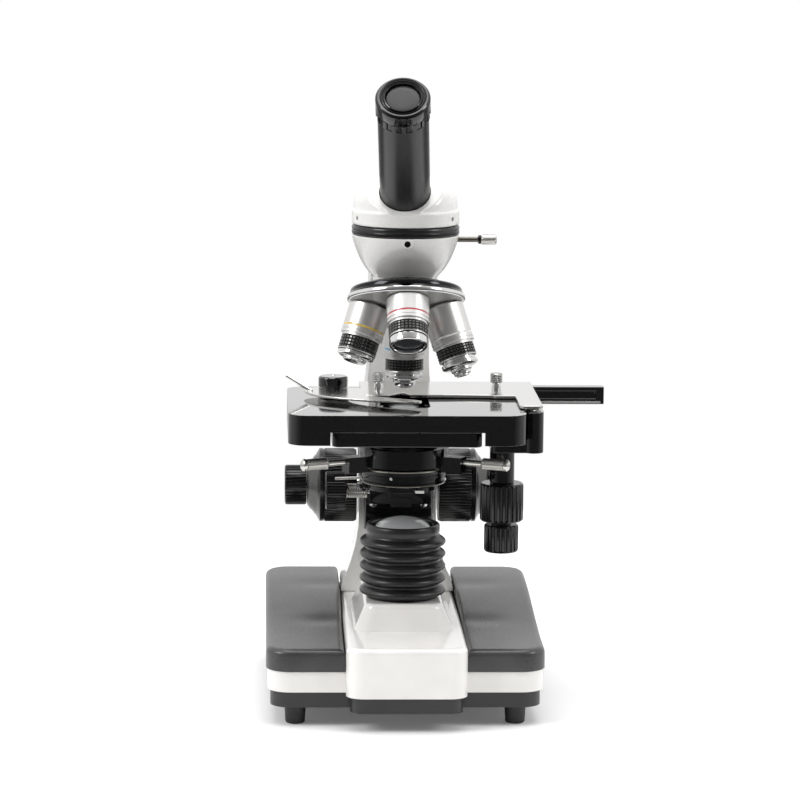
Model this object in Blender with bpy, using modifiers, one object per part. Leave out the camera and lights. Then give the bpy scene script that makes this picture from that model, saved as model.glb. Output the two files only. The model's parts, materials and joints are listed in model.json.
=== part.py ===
"""Upright student microscope with a monocular head, one object for each piece.

Sizes are in millimetres and MM turns them into metres.  The model is laid out with X to the
user's right, Y away from the user and Z up from the table, and the optical axis stands at
X = Y = 0.  The last step moves the whole microscope so that its box is centred on the origin.
Each moving group hangs from an empty that sits on its joint's axis.
"""
import math

import bmesh
import bpy
from mathutils import Matrix, Vector

MM = 0.001
CLEAR = 0.3              # gap between pieces that touch or run on each other
ROUND_LARGE = 24         # sides of the large, medium and small turned shapes
ROUND_MEDIUM = 16
ROUND_SMALL = 8

# Base
BASE_WIDTH = 157.0
BASE_FRONT = -66.0
BASE_REAR = 127.0
BASE_CORNER = 14.0
FOOT_HEIGHT = 10.7
FOOT_RADIUS = 6.3
FOOT_TIP_RADIUS = 5.5
FOOT_FROM_SIDE = 16.5
FOOT_FROM_FRONT = 13.0
FOOT_FROM_REAR = 19.0
COVER_HEIGHT = 8.7
COVER_INSET = 2.5
COVER_FLOOR = 2.8
BAND_HEIGHT = 11.9
BAND_INSET = 0.8
BASE_WALL = 4.0
SPINE_WIDTH = 68.0
SPINE_FRONT = -82.0
SPINE_TOP = 47.8
SPINE_CORNER = 10.0
PLATFORM_WIDTH = 46.0
PLATFORM_FRONT = -27.0
PLATFORM_FLARE = 7.0      # how far its sides lean out by the spine's top
PLATFORM_SLOPE = 10.0     # and its front
PLATFORM_CORNER = 8.0
PLATFORM_ROOT = 3.0
PLATFORM_REAR = 60.0
PLATFORM_TOP = 61.7
PAD_FRONT_TOP = 44.0
PAD_REAR_TOP = 54.5
PAD_WAVE = 1.6
PAD_EDGE = 3.5

# Lamp house and bellows
TUBE_RADIUS = 18.6
TUBE_WALL = 2.0
TUBE_TOP = 103.2
LENS_EDGE_Z = 98.5
LENS_TOP = 107.9
BELLOWS_WALL = 2.6
FOLD_DEPTH = 3.25
FOLD_PITCH = 7.1
FOLD_COUNT = 5
RIM_WALL = 2.3
RIM_RISE = 1.0
RIM_DEPTH = 5.0
LAMP_RADIUS = 8.0
SOCKET_RADIUS = 13.0
SOCKET_TOP = 38.0
LAMP_TOP = 58.0

# Back panel controls
PANEL_Z = 33.0
INLET_X = 16.0
INLET_SIZE = (26.0, 19.0)
ROCKER_X = -6.0
ROCKER_WIDTH = 12.0
ROCKER_RADIUS = 9.0
DIMMER_X = -24.0
DIMMER_RADIUS = 6.5
DIMMER_LENGTH = 7.0
DIMMER_SHAFT = 2.5

# Arm
ARM_FRONT = 80.0
ARM_DEPTH = 38.0
ARM_WIDTH = 45.8
ARM_UPPER_WIDTH = 35.7
BOWL_RADIUS = 30.5        # the head's radius too
BOWL_BASE_RADIUS = 18.3
BOWL_TOP = 270.7
BOWL_BOTTOM = 245.0
LIGHT_BORE = 9.5
SET_SCREW_RADIUS = 1.8
RING_LIP = 0.1
RING_HEIGHT = 5.5
LOCK_SCREW_Z = 267.8
LOCK_SCREW_SHAFT = 1.5
LOCK_SCREW_GRIP = 2.9
LOCK_SCREW_LENGTH = 52.0

# Head and eyepiece
HEAD_BAND = 8.0
HEAD_HEIGHT = 28.0
HEAD_YAW = math.radians(-4.0)      # the head stands a little turned on its ring
DOME_POWER = 0.75
HEAD_WALL = 4.5
HEAD_SCREW_ANGLE = 62.0
TUBE_PIVOT_Z = 279.0
TUBE_TILT = math.radians(45)
NECK_WALL = 3.15
NECK_END = 24.5
EYE_TUBE_RADIUS = 14.15
EYE_TUBE_START = 15.0
EYE_TUBE_END = 90.5
EYE_TUBE_WALL = 2.25
EYEPIECE_WALL = 1.1
EYEPIECE_DEPTH = 32.0
EYEPIECE_HEAD_RADIUS = 15.1
EYEPIECE_HEAD_LENGTH = 13.9
EYE_LENS_RADIUS = 9.4
PRISM_SIZE = 15.0
PRISM_RECESS = 3.0

# Turret and objectives
APEX_Z = 294.0
TURRET_TILT = math.radians(17)
TURRET_RADIUS = 33.0
TURRET_TOP = 54.4
CIRCLE_RADIUS = 20.0
PIVOT_RADIUS = 3.2
THREAD_RADIUS = 9.4
THREAD_LENGTH = 6.0
SLEEVE_RADIUS = 12.0
GRIP_RADIUS = 10.75
NOSE_RADIUS = 9.35

# Focus drive
FOCUS_Y = 92.0
FOCUS_Z = 110.5
COARSE_RADIUS = 22.0
COARSE_INNER_X = 24.5
COARSE_WIDTH = 22.5
CONE_WIDTH = 7.0
FINE_RADIUS = 11.9
FINE_WIDTH = 13.0
SHAFT_RADIUS = 4.2
FINE_SHAFT_RADIUS = 1.7
PINION_RADIUS = 4.9
PINION_WIDTH = 12.0
CARRIAGE_WIDTH = 41.0
CARRIAGE_BOTTOM = 88.0
CARRIAGE_TOP = 150.0
CARRIAGE_DEPTH = 14.0
TONGUE_WIDTH = 20.0
COARSE_DOWN = 10.0
COARSE_UP = 2.0

# Stage
STAGE_TOP = 175.3
STAGE_WIDTH = 133.0
STAGE_FRONT = -59.0
STAGE_REAR = 55.0
STAGE_CORNER = 11.0
STAGE_SLAB = 7.3
SKIRT_DEPTH = 17.0
SKIRT_WALL = 3.2
NOTCH_WIDTH = 86.0
NOTCH_DEPTH = 9.6
APERTURE_WIDTH = 28.0
APERTURE_LENGTH = 60.0
LOWER_WIDTH = 84.0
LOWER_FRONT = -50.0
LOWER_REAR = 62.0
LOWER_DEPTH = 19.3
LOWER_THICKNESS = 8.8
LOWER_BORE = 27.0
RAIL_LEFT = -10.0
RAIL_LENGTH = 130.0
RAIL_DEPTH = 7.7
RAIL_HEIGHT = 10.3
HOLDER_THICKNESS = 1.7
HOLDER_RIGHT = 77.0
JAW_WIDTH = 13.0
JAW_FRONT = -35.0
HUB_X = -40.0
HUB_Y = 27.0
HUB_RADIUS = 8.5
HUB_HEIGHT = 8.2
HUB_NECK = 4.0
FINGER_THICKNESS = 1.3
THUMB_X = (-13.5, 55.0)
THUMB_Y = 34.0
THUMB_RADIUS = 3.5
THUMB_HEIGHT = 9.0
POST_WIDTH = 10.7
POST_FRONT = -38.0
POST_REAR = 12.0
POST_DROP = 1.3
POST_DEPTH = 24.6
KNOB_X = 56.6
KNOB_Y = 0.0
KNOB_TUBE_RADIUS = 7.1
KNOB_TUBE_LENGTH = 22.6
Y_KNOB_RADIUS = 12.5
Y_KNOB_HEIGHT = 22.0
X_KNOB_RADIUS = 9.9
X_KNOB_HEIGHT = 15.8
KNOB_NECK = 2.1
SLEEVE_SHAFT = 5.0
CORE_SHAFT = 2.5

# Condenser
CONDENSER_TOP = 172.0
CONDENSER_NECK = 12.4
BARREL_RADIUS = 20.0
BARREL_DEPTH = 21.0
IRIS_STEP = 4.5
IRIS_TOP = 137.7
IRIS_BOTTOM = 128.6
CONDENSER_BORE = 9.0
LEVER_Z = 131.3
LEVER_THICKNESS = 1.8
LEVER_REACH = 40.0
FILTER_BORE = 16.0
FILTER_RIM = 4.5
FILTER_TOP = 127.4
FILTER_THICKNESS = 2.7
CARRIER_WALL = 5.7
CARRIER_TOP = 149.5
CARRIER_BOTTOM = 139.0
EAR_ANGLE = math.radians(25)
EAR_REACH = 37.0
SCREW_Z = 140.4
SCREW_REACH = 65.0
GUIDE_FRONT = 40.0
GUIDE_WIDTH = 36.0
GUIDE_BOTTOM = 108.0
BRACKET_DEPTH = 13.7
BRACKET_BOTTOM = 110.0
LIFT_Y = 46.0
LIFT_Z = 115.0
LIFT_KNOB_RADIUS = 11.2
LIFT_KNOB_X = -43.7
LIFT_KNOB_WIDTH = 12.0
LIFT_PINION = 5.7

# Sizes and heights that follow
COVER_TOP = FOOT_HEIGHT + COVER_HEIGHT
BAND_TOP = COVER_TOP + BAND_HEIGHT
BASE_HALF = BASE_WIDTH / 2
SPINE_HALF = SPINE_WIDTH / 2
FOOT_X = BASE_HALF - FOOT_FROM_SIDE
FOOT_FRONT_Y = BASE_FRONT + FOOT_FROM_FRONT
FOOT_REAR_Y = BASE_REAR - FOOT_FROM_REAR
FOLD_ROOT = TUBE_RADIUS + CLEAR + BELLOWS_WALL
FOLD_RADIUS = FOLD_ROOT + FOLD_DEPTH
RIM_RADIUS = TUBE_RADIUS + CLEAR + RIM_WALL
RIM_TOP = TUBE_TOP + RIM_RISE
RING_RADIUS = BOWL_RADIUS + RING_LIP
RING_TOP = BOWL_TOP + CLEAR + RING_HEIGHT
HEAD_RADIUS = BOWL_RADIUS
HEAD_BOTTOM = RING_TOP + CLEAR
NECK_RADIUS = EYE_TUBE_RADIUS + NECK_WALL
NECK_START = NECK_RADIUS - CLEAR      # keeps the wide end of the neck above the head's foot
EYEPIECE_RADIUS = EYE_TUBE_RADIUS - CLEAR - EYE_TUBE_WALL
CARRIAGE_FRONT = ARM_FRONT - CARRIAGE_DEPTH
LOWER_BOTTOM = STAGE_TOP - LOWER_DEPTH
LOWER_TOP = LOWER_BOTTOM + LOWER_THICKNESS
SKIRT_BOTTOM = STAGE_TOP - SKIRT_DEPTH
NOTCH_TOP = STAGE_TOP - NOTCH_DEPTH
RAIL_TOP = STAGE_TOP + 0.1
RAIL_BOTTOM = RAIL_TOP - RAIL_HEIGHT
HOLDER_BOTTOM = STAGE_TOP + 0.4
HOLDER_TOP = HOLDER_BOTTOM + HOLDER_THICKNESS
THUMB_TOP = HOLDER_TOP + THUMB_HEIGHT
POST_TOP = STAGE_TOP - POST_DROP
POST_BOTTOM = STAGE_TOP - POST_DEPTH
KNOB_TUBE_BOTTOM = POST_BOTTOM - KNOB_TUBE_LENGTH
BARREL_TOP = CONDENSER_TOP - BARREL_DEPTH
IRIS_RADIUS = BARREL_RADIUS + IRIS_STEP
FILTER_RADIUS = FILTER_BORE + FILTER_RIM
FILTER_PIVOT = IRIS_RADIUS - 2.0
CARRIER_RING = BARREL_RADIUS + CLEAR + CARRIER_WALL
BRACKET_FRONT = CARRIAGE_FRONT - CLEAR - BRACKET_DEPTH


def clear_scene():
    for obj in list(bpy.data.objects):
        bpy.data.objects.remove(obj, do_unlink=True)


def make_collection(name):
    group = bpy.data.collections.new(name)
    bpy.context.scene.collection.children.link(group)
    return group


def make_material(name, colour, roughness, metallic=0.0):
    mat = bpy.data.materials.new(name)
    mat.use_nodes = True
    shader = mat.node_tree.nodes["Principled BSDF"]
    shader.inputs["Base Color"].default_value = (*colour, 1.0)
    shader.inputs["Roughness"].default_value = roughness
    shader.inputs["Metallic"].default_value = metallic
    return mat


clear_scene()
PARTS = make_collection("microscope")
CUTTERS = make_collection("cutters")

WHITE = ("white_paint", (0.83, 0.83, 0.81), 0.3)
PAD_GREY = ("pad_plastic", (0.10, 0.10, 0.10), 0.5)
DARK_GREY = ("dark_plastic", (0.06, 0.06, 0.06), 0.5)
RUBBER = ("rubber", (0.04, 0.04, 0.04), 0.6)
BLACK = ("black_metal", (0.02, 0.02, 0.02), 0.3)
CHROME = ("chrome", (0.8, 0.8, 0.8), 0.12, 1.0)
SATIN = ("satin_chrome", (0.6, 0.6, 0.6), 0.3, 1.0)
STEEL = ("steel", (0.55, 0.55, 0.54), 0.35, 1.0)
GLASS = ("glass", (0.7, 0.75, 0.78), 0.05)


def make_axis(name, at, parent=None, turn=(0.0, 0.0, 0.0)):
    """An empty that carries a group, with its local Z or X on the joint's axis."""
    empty = bpy.data.objects.new(name, None)
    empty.empty_display_size = 0.01
    empty.location = Vector(at) * MM
    empty.rotation_euler = turn
    empty.parent = parent
    PARTS.objects.link(empty)
    return empty


def place(obj, parent, at=(0.0, 0.0, 0.0), turn=(0.0, 0.0, 0.0)):
    obj.parent = parent
    obj.location = Vector(at) * MM
    obj.rotation_euler = turn
    return obj


def finish(obj, name, look):
    """Name a finished piece and give it a material of its own."""
    if any(mod.type == "BOOLEAN" for mod in obj.modifiers):
        weld = obj.modifiers.new("weld", "WELD")
        weld.merge_threshold = 0.00002
    obj.name = name
    obj.data.name = name
    obj.data.materials.clear()
    obj.data.materials.append(make_material(f"{name}_{look[0]}", *look[1:]))
    obj.data.shade_smooth()
    obj.data.set_sharp_from_angle(angle=math.radians(35))
    return obj


def mesh_object(name, mesh):
    obj = bpy.data.objects.new(name, mesh)
    PARTS.objects.link(obj)
    return obj


def bevel(obj, width, segments=2):
    mod = obj.modifiers.new("edges", "BEVEL")
    mod.width = width * MM
    mod.segments = segments
    mod.limit_method = "ANGLE"
    mod.angle_limit = math.radians(40)
    mod.use_clamp_overlap = True
    return obj


def block(low, high, edge=0.0):
    """A box between two corners."""
    shape = bmesh.new()
    bmesh.ops.create_cube(shape, size=1.0)
    centre = (Vector(low) + Vector(high)) / 2 * MM
    size = (Vector(high) - Vector(low)) * MM
    bmesh.ops.transform(shape, matrix=Matrix.Diagonal((*size, 1.0)), verts=shape.verts)
    bmesh.ops.translate(shape, vec=centre, verts=shape.verts)
    mesh = bpy.data.meshes.new("block")
    shape.to_mesh(mesh)
    shape.free()
    obj = mesh_object("block", mesh)
    if edge:
        bevel(obj, edge)
    return obj


def turned(profile, steps=ROUND_MEDIUM, ring=False):
    """A turned shape about Z from (radius, z) points that run down the outer side."""
    shape = bmesh.new()
    points = [shape.verts.new((radius * MM, 0.0, z * MM)) for radius, z in profile]
    for first, second in zip(points, points[1:]):
        shape.edges.new((first, second))
    if ring:
        shape.edges.new((points[-1], points[0]))
    mesh = bpy.data.meshes.new("turned")
    shape.to_mesh(mesh)
    shape.free()
    obj = mesh_object("turned", mesh)
    mod = obj.modifiers.new("turn", "SCREW")
    mod.steps = steps
    mod.render_steps = steps
    mod.use_merge_vertices = True
    mod.merge_threshold = 0.00001
    return obj


def rod(radius, low, high, steps=ROUND_MEDIUM):
    return turned([(0, high), (radius, high), (radius, low), (0, low)], steps)


def pipe(outer, inner, low, high, steps=ROUND_MEDIUM):
    return turned([(inner, high), (outer, high), (outer, low), (inner, low)], steps, ring=True)


def slab(outline, low, high, edge=0.0):
    """A flat outline in XY, thick from low to high."""
    curve = bpy.data.curves.new("slab", "CURVE")
    curve.dimensions = "2D"
    curve.fill_mode = "BOTH"
    curve.extrude = (high - low) / 2 * MM
    spline = curve.splines.new("POLY")
    spline.points.add(len(outline) - 1)
    for point, (x, y) in zip(spline.points, outline):
        point.co = (x * MM, y * MM, 0.0, 1.0)
    spline.use_cyclic_u = True
    guide = bpy.data.objects.new("slab_curve", curve)
    PARTS.objects.link(guide)
    graph = bpy.context.evaluated_depsgraph_get()
    mesh = bpy.data.meshes.new_from_object(guide.evaluated_get(graph))
    bpy.data.objects.remove(guide)
    shape = bmesh.new()
    shape.from_mesh(mesh)
    bmesh.ops.remove_doubles(shape, verts=shape.verts, dist=1e-6)
    bmesh.ops.translate(shape, vec=(0.0, 0.0, (low + high) / 2 * MM), verts=shape.verts)
    bmesh.ops.recalc_face_normals(shape, faces=shape.faces)
    shape.to_mesh(mesh)
    shape.free()
    obj = mesh_object("slab", mesh)
    if edge:
        bevel(obj, edge)
    return obj


def combine(target, tool, operation):
    """Boolean with a tool that becomes a hidden cutter under the same parent."""
    mod = target.modifiers.new(operation.lower(), "BOOLEAN")
    mod.operation = operation
    mod.object = tool
    PARTS.objects.unlink(tool)
    CUTTERS.objects.link(tool)
    tool.parent = target.parent
    tool.hide_render = True
    tool.display_type = "WIRE"
    return target


def join(target, *tools):
    for tool in tools:
        combine(target, tool, "UNION")
    return target


def cut(target, *tools):
    for tool in tools:
        combine(target, tool, "DIFFERENCE")
    return target


def arc(x, y, radius, start, end, count):
    """Points along a circular arc, angles in degrees."""
    angles = [math.radians(start + (end - start) * k / count) for k in range(count + 1)]
    return [(x + radius * math.cos(a), y + radius * math.sin(a)) for a in angles]


def rounded_box(left, right, front, rear, radius, count=4):
    return (
        arc(right - radius, rear - radius, radius, 0, 90, count)
        + arc(left + radius, rear - radius, radius, 90, 180, count)
        + arc(left + radius, front + radius, radius, 180, 270, count)
        + arc(right - radius, front + radius, radius, 270, 360, count)
    )


def smooth_line(points, count=4):
    """A Catmull-Rom curve through the points."""
    ends = [points[0], *points, points[-1]]
    line = []
    for k in range(len(points) - 1):
        a, b, c, d = (Vector(ends[k + j]) for j in range(4))
        for step in range(count):
            t = step / count
            line.append(tuple(
                0.5 * (2 * b + (c - a) * t + (2 * a - 5 * b + 4 * c - d) * t ** 2
                       + (3 * b - a - 3 * c + d) * t ** 3)))
    line.append(tuple(points[-1]))
    return line


SIDEWAYS = (math.pi / 2, 0.0, math.pi / 2)      # an XY outline becomes YZ, thick along X
UPRIGHT = (math.pi / 2, 0.0, 0.0)               # an XY outline becomes XZ, thick along -Y
ALONG_X = (0.0, math.pi / 2, 0.0)               # a turned shape's Z axis becomes X
ALONG_Y = (-math.pi / 2, 0.0, 0.0)              # a turned shape's Z axis becomes Y

root = make_axis("microscope_frame", (0, 0, 0))


# ---------------------------------------------------------------- base
def base_outline(inset):
    return rounded_box(-BASE_HALF + inset, BASE_HALF - inset, BASE_FRONT + inset,
                       BASE_REAR - inset, BASE_CORNER - inset)


def build_platform():
    """The raised block under the bellows, whose sides and front lean out to its foot."""
    half = PLATFORM_WIDTH / 2
    platform = slab(rounded_box(-half, half, PLATFORM_FRONT, PLATFORM_REAR, PLATFORM_CORNER),
                    SPINE_TOP - PLATFORM_ROOT, PLATFORM_TOP)
    middle = (SPINE_TOP + PLATFORM_TOP) / 2 * MM
    wider = (half + PLATFORM_FLARE) / half
    longer = (PLATFORM_REAR - PLATFORM_FRONT + PLATFORM_SLOPE) / (PLATFORM_REAR - PLATFORM_FRONT)
    rear = PLATFORM_REAR * MM
    for vertex in platform.data.vertices:
        if vertex.co.z < middle:
            vertex.co.x *= wider
            vertex.co.y = rear - (rear - vertex.co.y) * longer
    return bevel(platform, 2.5)


def build_base():
    body = slab(base_outline(BAND_INSET), COVER_TOP + CLEAR, BAND_TOP)
    place(body, root)
    panel = BASE_REAR - BAND_INSET
    spine = slab(rounded_box(-SPINE_HALF, SPINE_HALF, SPINE_FRONT, panel, SPINE_CORNER),
                 COVER_TOP + CLEAR, SPINE_TOP, 2.0)
    join(body, spine, build_platform())
    low = COVER_TOP - 1.0
    wall = BASE_WALL
    tray = slab(base_outline(BAND_INSET + wall), low, BAND_TOP - wall)
    tunnel = block((-SPINE_HALF + wall, SPINE_FRONT + wall + 2.0, low),
                   (SPINE_HALF - wall, panel - wall, SPINE_TOP - wall))
    tower = block((-PLATFORM_WIDTH / 2 + wall, PLATFORM_FRONT + wall, SPINE_TOP - wall - 1.0),
                  (PLATFORM_WIDTH / 2 - wall, PLATFORM_REAR - wall, PLATFORM_TOP - wall))
    mouth = rod(TUBE_RADIUS - TUBE_WALL, PLATFORM_TOP - wall - 1.0, PLATFORM_TOP + 1.0)
    width, height = (INLET_SIZE[0] / 2 + CLEAR, INLET_SIZE[1] / 2 + CLEAR)
    inlet = block((INLET_X - width, panel - wall - 1.0, PANEL_Z - height),
                  (INLET_X + width, panel + 1.0, PANEL_Z + height))
    half = ROCKER_WIDTH / 2 + CLEAR
    reach = ROCKER_RADIUS + CLEAR
    rocker = block((ROCKER_X - half, panel - wall - 1.0, PANEL_Z - reach),
                   (ROCKER_X + half, panel + 1.0, PANEL_Z + reach))
    dimmer = place(rod(DIMMER_SHAFT + CLEAR, -wall - 1.0, 1.0), root,
                   (DIMMER_X, panel, PANEL_Z), ALONG_Y)
    cut(body, tray, tunnel, tower, mouth, inlet, rocker, dimmer)
    finish(body, "base_casting", WHITE)


def pad_top(y):
    """Height of the hand rest: it climbs to the back with a shallow wave."""
    t = (y - BASE_FRONT) / (BASE_REAR - BASE_FRONT)
    rise = (PAD_REAR_TOP - PAD_FRONT_TOP) * t
    return PAD_FRONT_TOP + rise - PAD_WAVE * math.sin(2 * math.pi * t)


def build_pad(side, name):
    outline = (
        [(SPINE_HALF + CLEAR, BASE_REAR), (SPINE_HALF + CLEAR, BASE_FRONT)]
        + arc(BASE_HALF - BASE_CORNER, BASE_FRONT + BASE_CORNER, BASE_CORNER, 270, 360, 5)
        + arc(BASE_HALF - BASE_CORNER, BASE_REAR - BASE_CORNER, BASE_CORNER, 0, 90, 5)
    )
    outline = [(side * x, y) for x, y in outline]
    high = PAD_REAR_TOP + 8.0
    pad = place(slab(outline, BAND_TOP + CLEAR, high), root)
    count = 12
    length = BASE_REAR - BASE_FRONT
    line = [(BASE_FRONT + length * k / count, pad_top(BASE_FRONT + length * k / count))
            for k in range(count + 1)]
    above = [(BASE_REAR + 9.0, pad_top(BASE_REAR)), (BASE_REAR + 9.0, high + 5.0),
             (BASE_FRONT - 9.0, high + 5.0), (BASE_FRONT - 9.0, PAD_FRONT_TOP)]
    shaver = slab(line + above, -BASE_WIDTH, BASE_WIDTH)
    shaver.rotation_euler = SIDEWAYS
    cut(pad, shaver)
    bevel(pad, PAD_EDGE)
    finish(pad, name, PAD_GREY)


def build_cover():
    cover = place(slab(base_outline(COVER_INSET), FOOT_HEIGHT, COVER_TOP), root)
    nose_half = SPINE_HALF - COVER_INSET
    front = SPINE_FRONT + COVER_INSET
    nose = slab(rounded_box(-nose_half, nose_half, front, 0.0, SPINE_CORNER - COVER_INSET),
                FOOT_HEIGHT, COVER_TOP)
    join(cover, nose)
    wall = BASE_WALL
    floor = FOOT_HEIGHT + COVER_FLOOR
    cut(cover,
        slab(base_outline(COVER_INSET + wall), floor, COVER_TOP + 1.0),
        block((-nose_half + wall, front + wall + 2.0, floor), (nose_half - wall, 0.0, COVER_TOP + 1.0)))
    finish(cover, "bottom_cover", DARK_GREY)


def build_feet():
    top = FOOT_HEIGHT - CLEAR
    profile = [(0, top), (FOOT_RADIUS, top), (FOOT_TIP_RADIUS, 0.8), (FOOT_TIP_RADIUS - 0.8, 0), (0, 0)]
    for depth, y in (("front", FOOT_FRONT_Y), ("rear", FOOT_REAR_Y)):
        for side, x in (("left", -FOOT_X), ("right", FOOT_X)):
            foot = place(turned(profile), root, (x, y, 0))
            finish(foot, f"foot_{depth}_{side}", RUBBER)


def build_lamp():
    floor = FOOT_HEIGHT + COVER_FLOOR + CLEAR
    socket = place(rod(SOCKET_RADIUS, floor, SOCKET_TOP), root)
    join(socket, rod(SOCKET_RADIUS + 4.0, floor, floor + 3.0))
    cut(socket, rod(LAMP_RADIUS + CLEAR, SOCKET_TOP - 8.0, SOCKET_TOP + 1.0))
    finish(socket, "lamp_socket", DARK_GREY)
    dome = arc(0, LAMP_TOP - LAMP_RADIUS, LAMP_RADIUS, 90, 0, 6)
    bulb = turned(dome + [(LAMP_RADIUS, SOCKET_TOP - 8.0 + CLEAR), (0, SOCKET_TOP - 8.0 + CLEAR)])
    finish(place(bulb, root), "lamp_bulb", GLASS)


def build_collector():
    low = PLATFORM_TOP + CLEAR
    inner = TUBE_RADIUS - TUBE_WALL
    ledge = inner - 1.8
    tube = turned([(inner, TUBE_TOP), (TUBE_RADIUS, TUBE_TOP), (TUBE_RADIUS, low), (ledge, low),
                   (ledge, LENS_EDGE_Z - CLEAR), (inner, LENS_EDGE_Z - CLEAR)], ring=True)
    finish(place(tube, root), "collector_tube", BLACK)
    edge = inner - CLEAR
    rise = LENS_TOP - LENS_EDGE_Z - 2.0
    dome = [(edge * math.sin(math.radians(15 * k)),
             LENS_TOP - rise + rise * math.cos(math.radians(15 * k))) for k in range(7)]
    lens = turned(dome + [(edge, LENS_EDGE_Z), (0, LENS_EDGE_Z)])
    finish(place(lens, root), "collector_lens", GLASS)


def build_bellows():
    low = PLATFORM_TOP + CLEAR
    inner = TUBE_RADIUS + CLEAR
    outer = [(inner, RIM_TOP), (RIM_RADIUS, RIM_TOP), (RIM_RADIUS, RIM_TOP - RIM_DEPTH),
             (FOLD_ROOT, RIM_TOP - RIM_DEPTH - 0.5)]
    for fold in reversed(range(FOLD_COUNT)):
        base = low + fold * FOLD_PITCH
        outer += [(FOLD_RADIUS, base + FOLD_PITCH * share) for share in (0.72, 0.28)]
        outer.append((FOLD_ROOT, base))
    boot = turned(outer + [(inner, low)], ring=True)
    finish(place(boot, root), "bellows", RUBBER)


def build_back_panel():
    panel = BASE_REAR - BAND_INSET
    width, height = (INLET_SIZE[0] / 2, INLET_SIZE[1] / 2)
    inlet = place(block((INLET_X - width, panel - 16.0, PANEL_Z - height),
                        (INLET_X + width, panel + 0.5, PANEL_Z + height), 1.0), root)
    cut(inlet, block((INLET_X - width + 2.5, panel - 13.0, PANEL_Z - height + 2.5),
                     (INLET_X + width - 2.5, panel + 2.0, PANEL_Z + height - 2.5)))
    finish(inlet, "power_inlet", BLACK)

    pivot = make_axis("rocker_axis", (ROCKER_X, panel - ROCKER_RADIUS + 2.5, PANEL_Z), root)
    face = ROCKER_RADIUS - 0.6
    outline = arc(0, 0, ROCKER_RADIUS, 62, 298, 10) + [(face - 1.2, 0)]
    rocker = slab(outline, -ROCKER_WIDTH / 2, ROCKER_WIDTH / 2)
    finish(place(rocker, pivot, turn=SIDEWAYS), "rocker_switch", BLACK)

    wheel = make_axis("dimmer_axis", (DIMMER_X, panel, PANEL_Z), root)
    knob = turned([(0, DIMMER_LENGTH + CLEAR), (DIMMER_RADIUS, DIMMER_LENGTH + CLEAR),
                   (DIMMER_RADIUS, CLEAR), (DIMMER_SHAFT, CLEAR), (DIMMER_SHAFT, -12.0), (0, -12.0)])
    finish(place(knob, wheel, turn=ALONG_Y), "dimmer_knob", BLACK)


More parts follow.
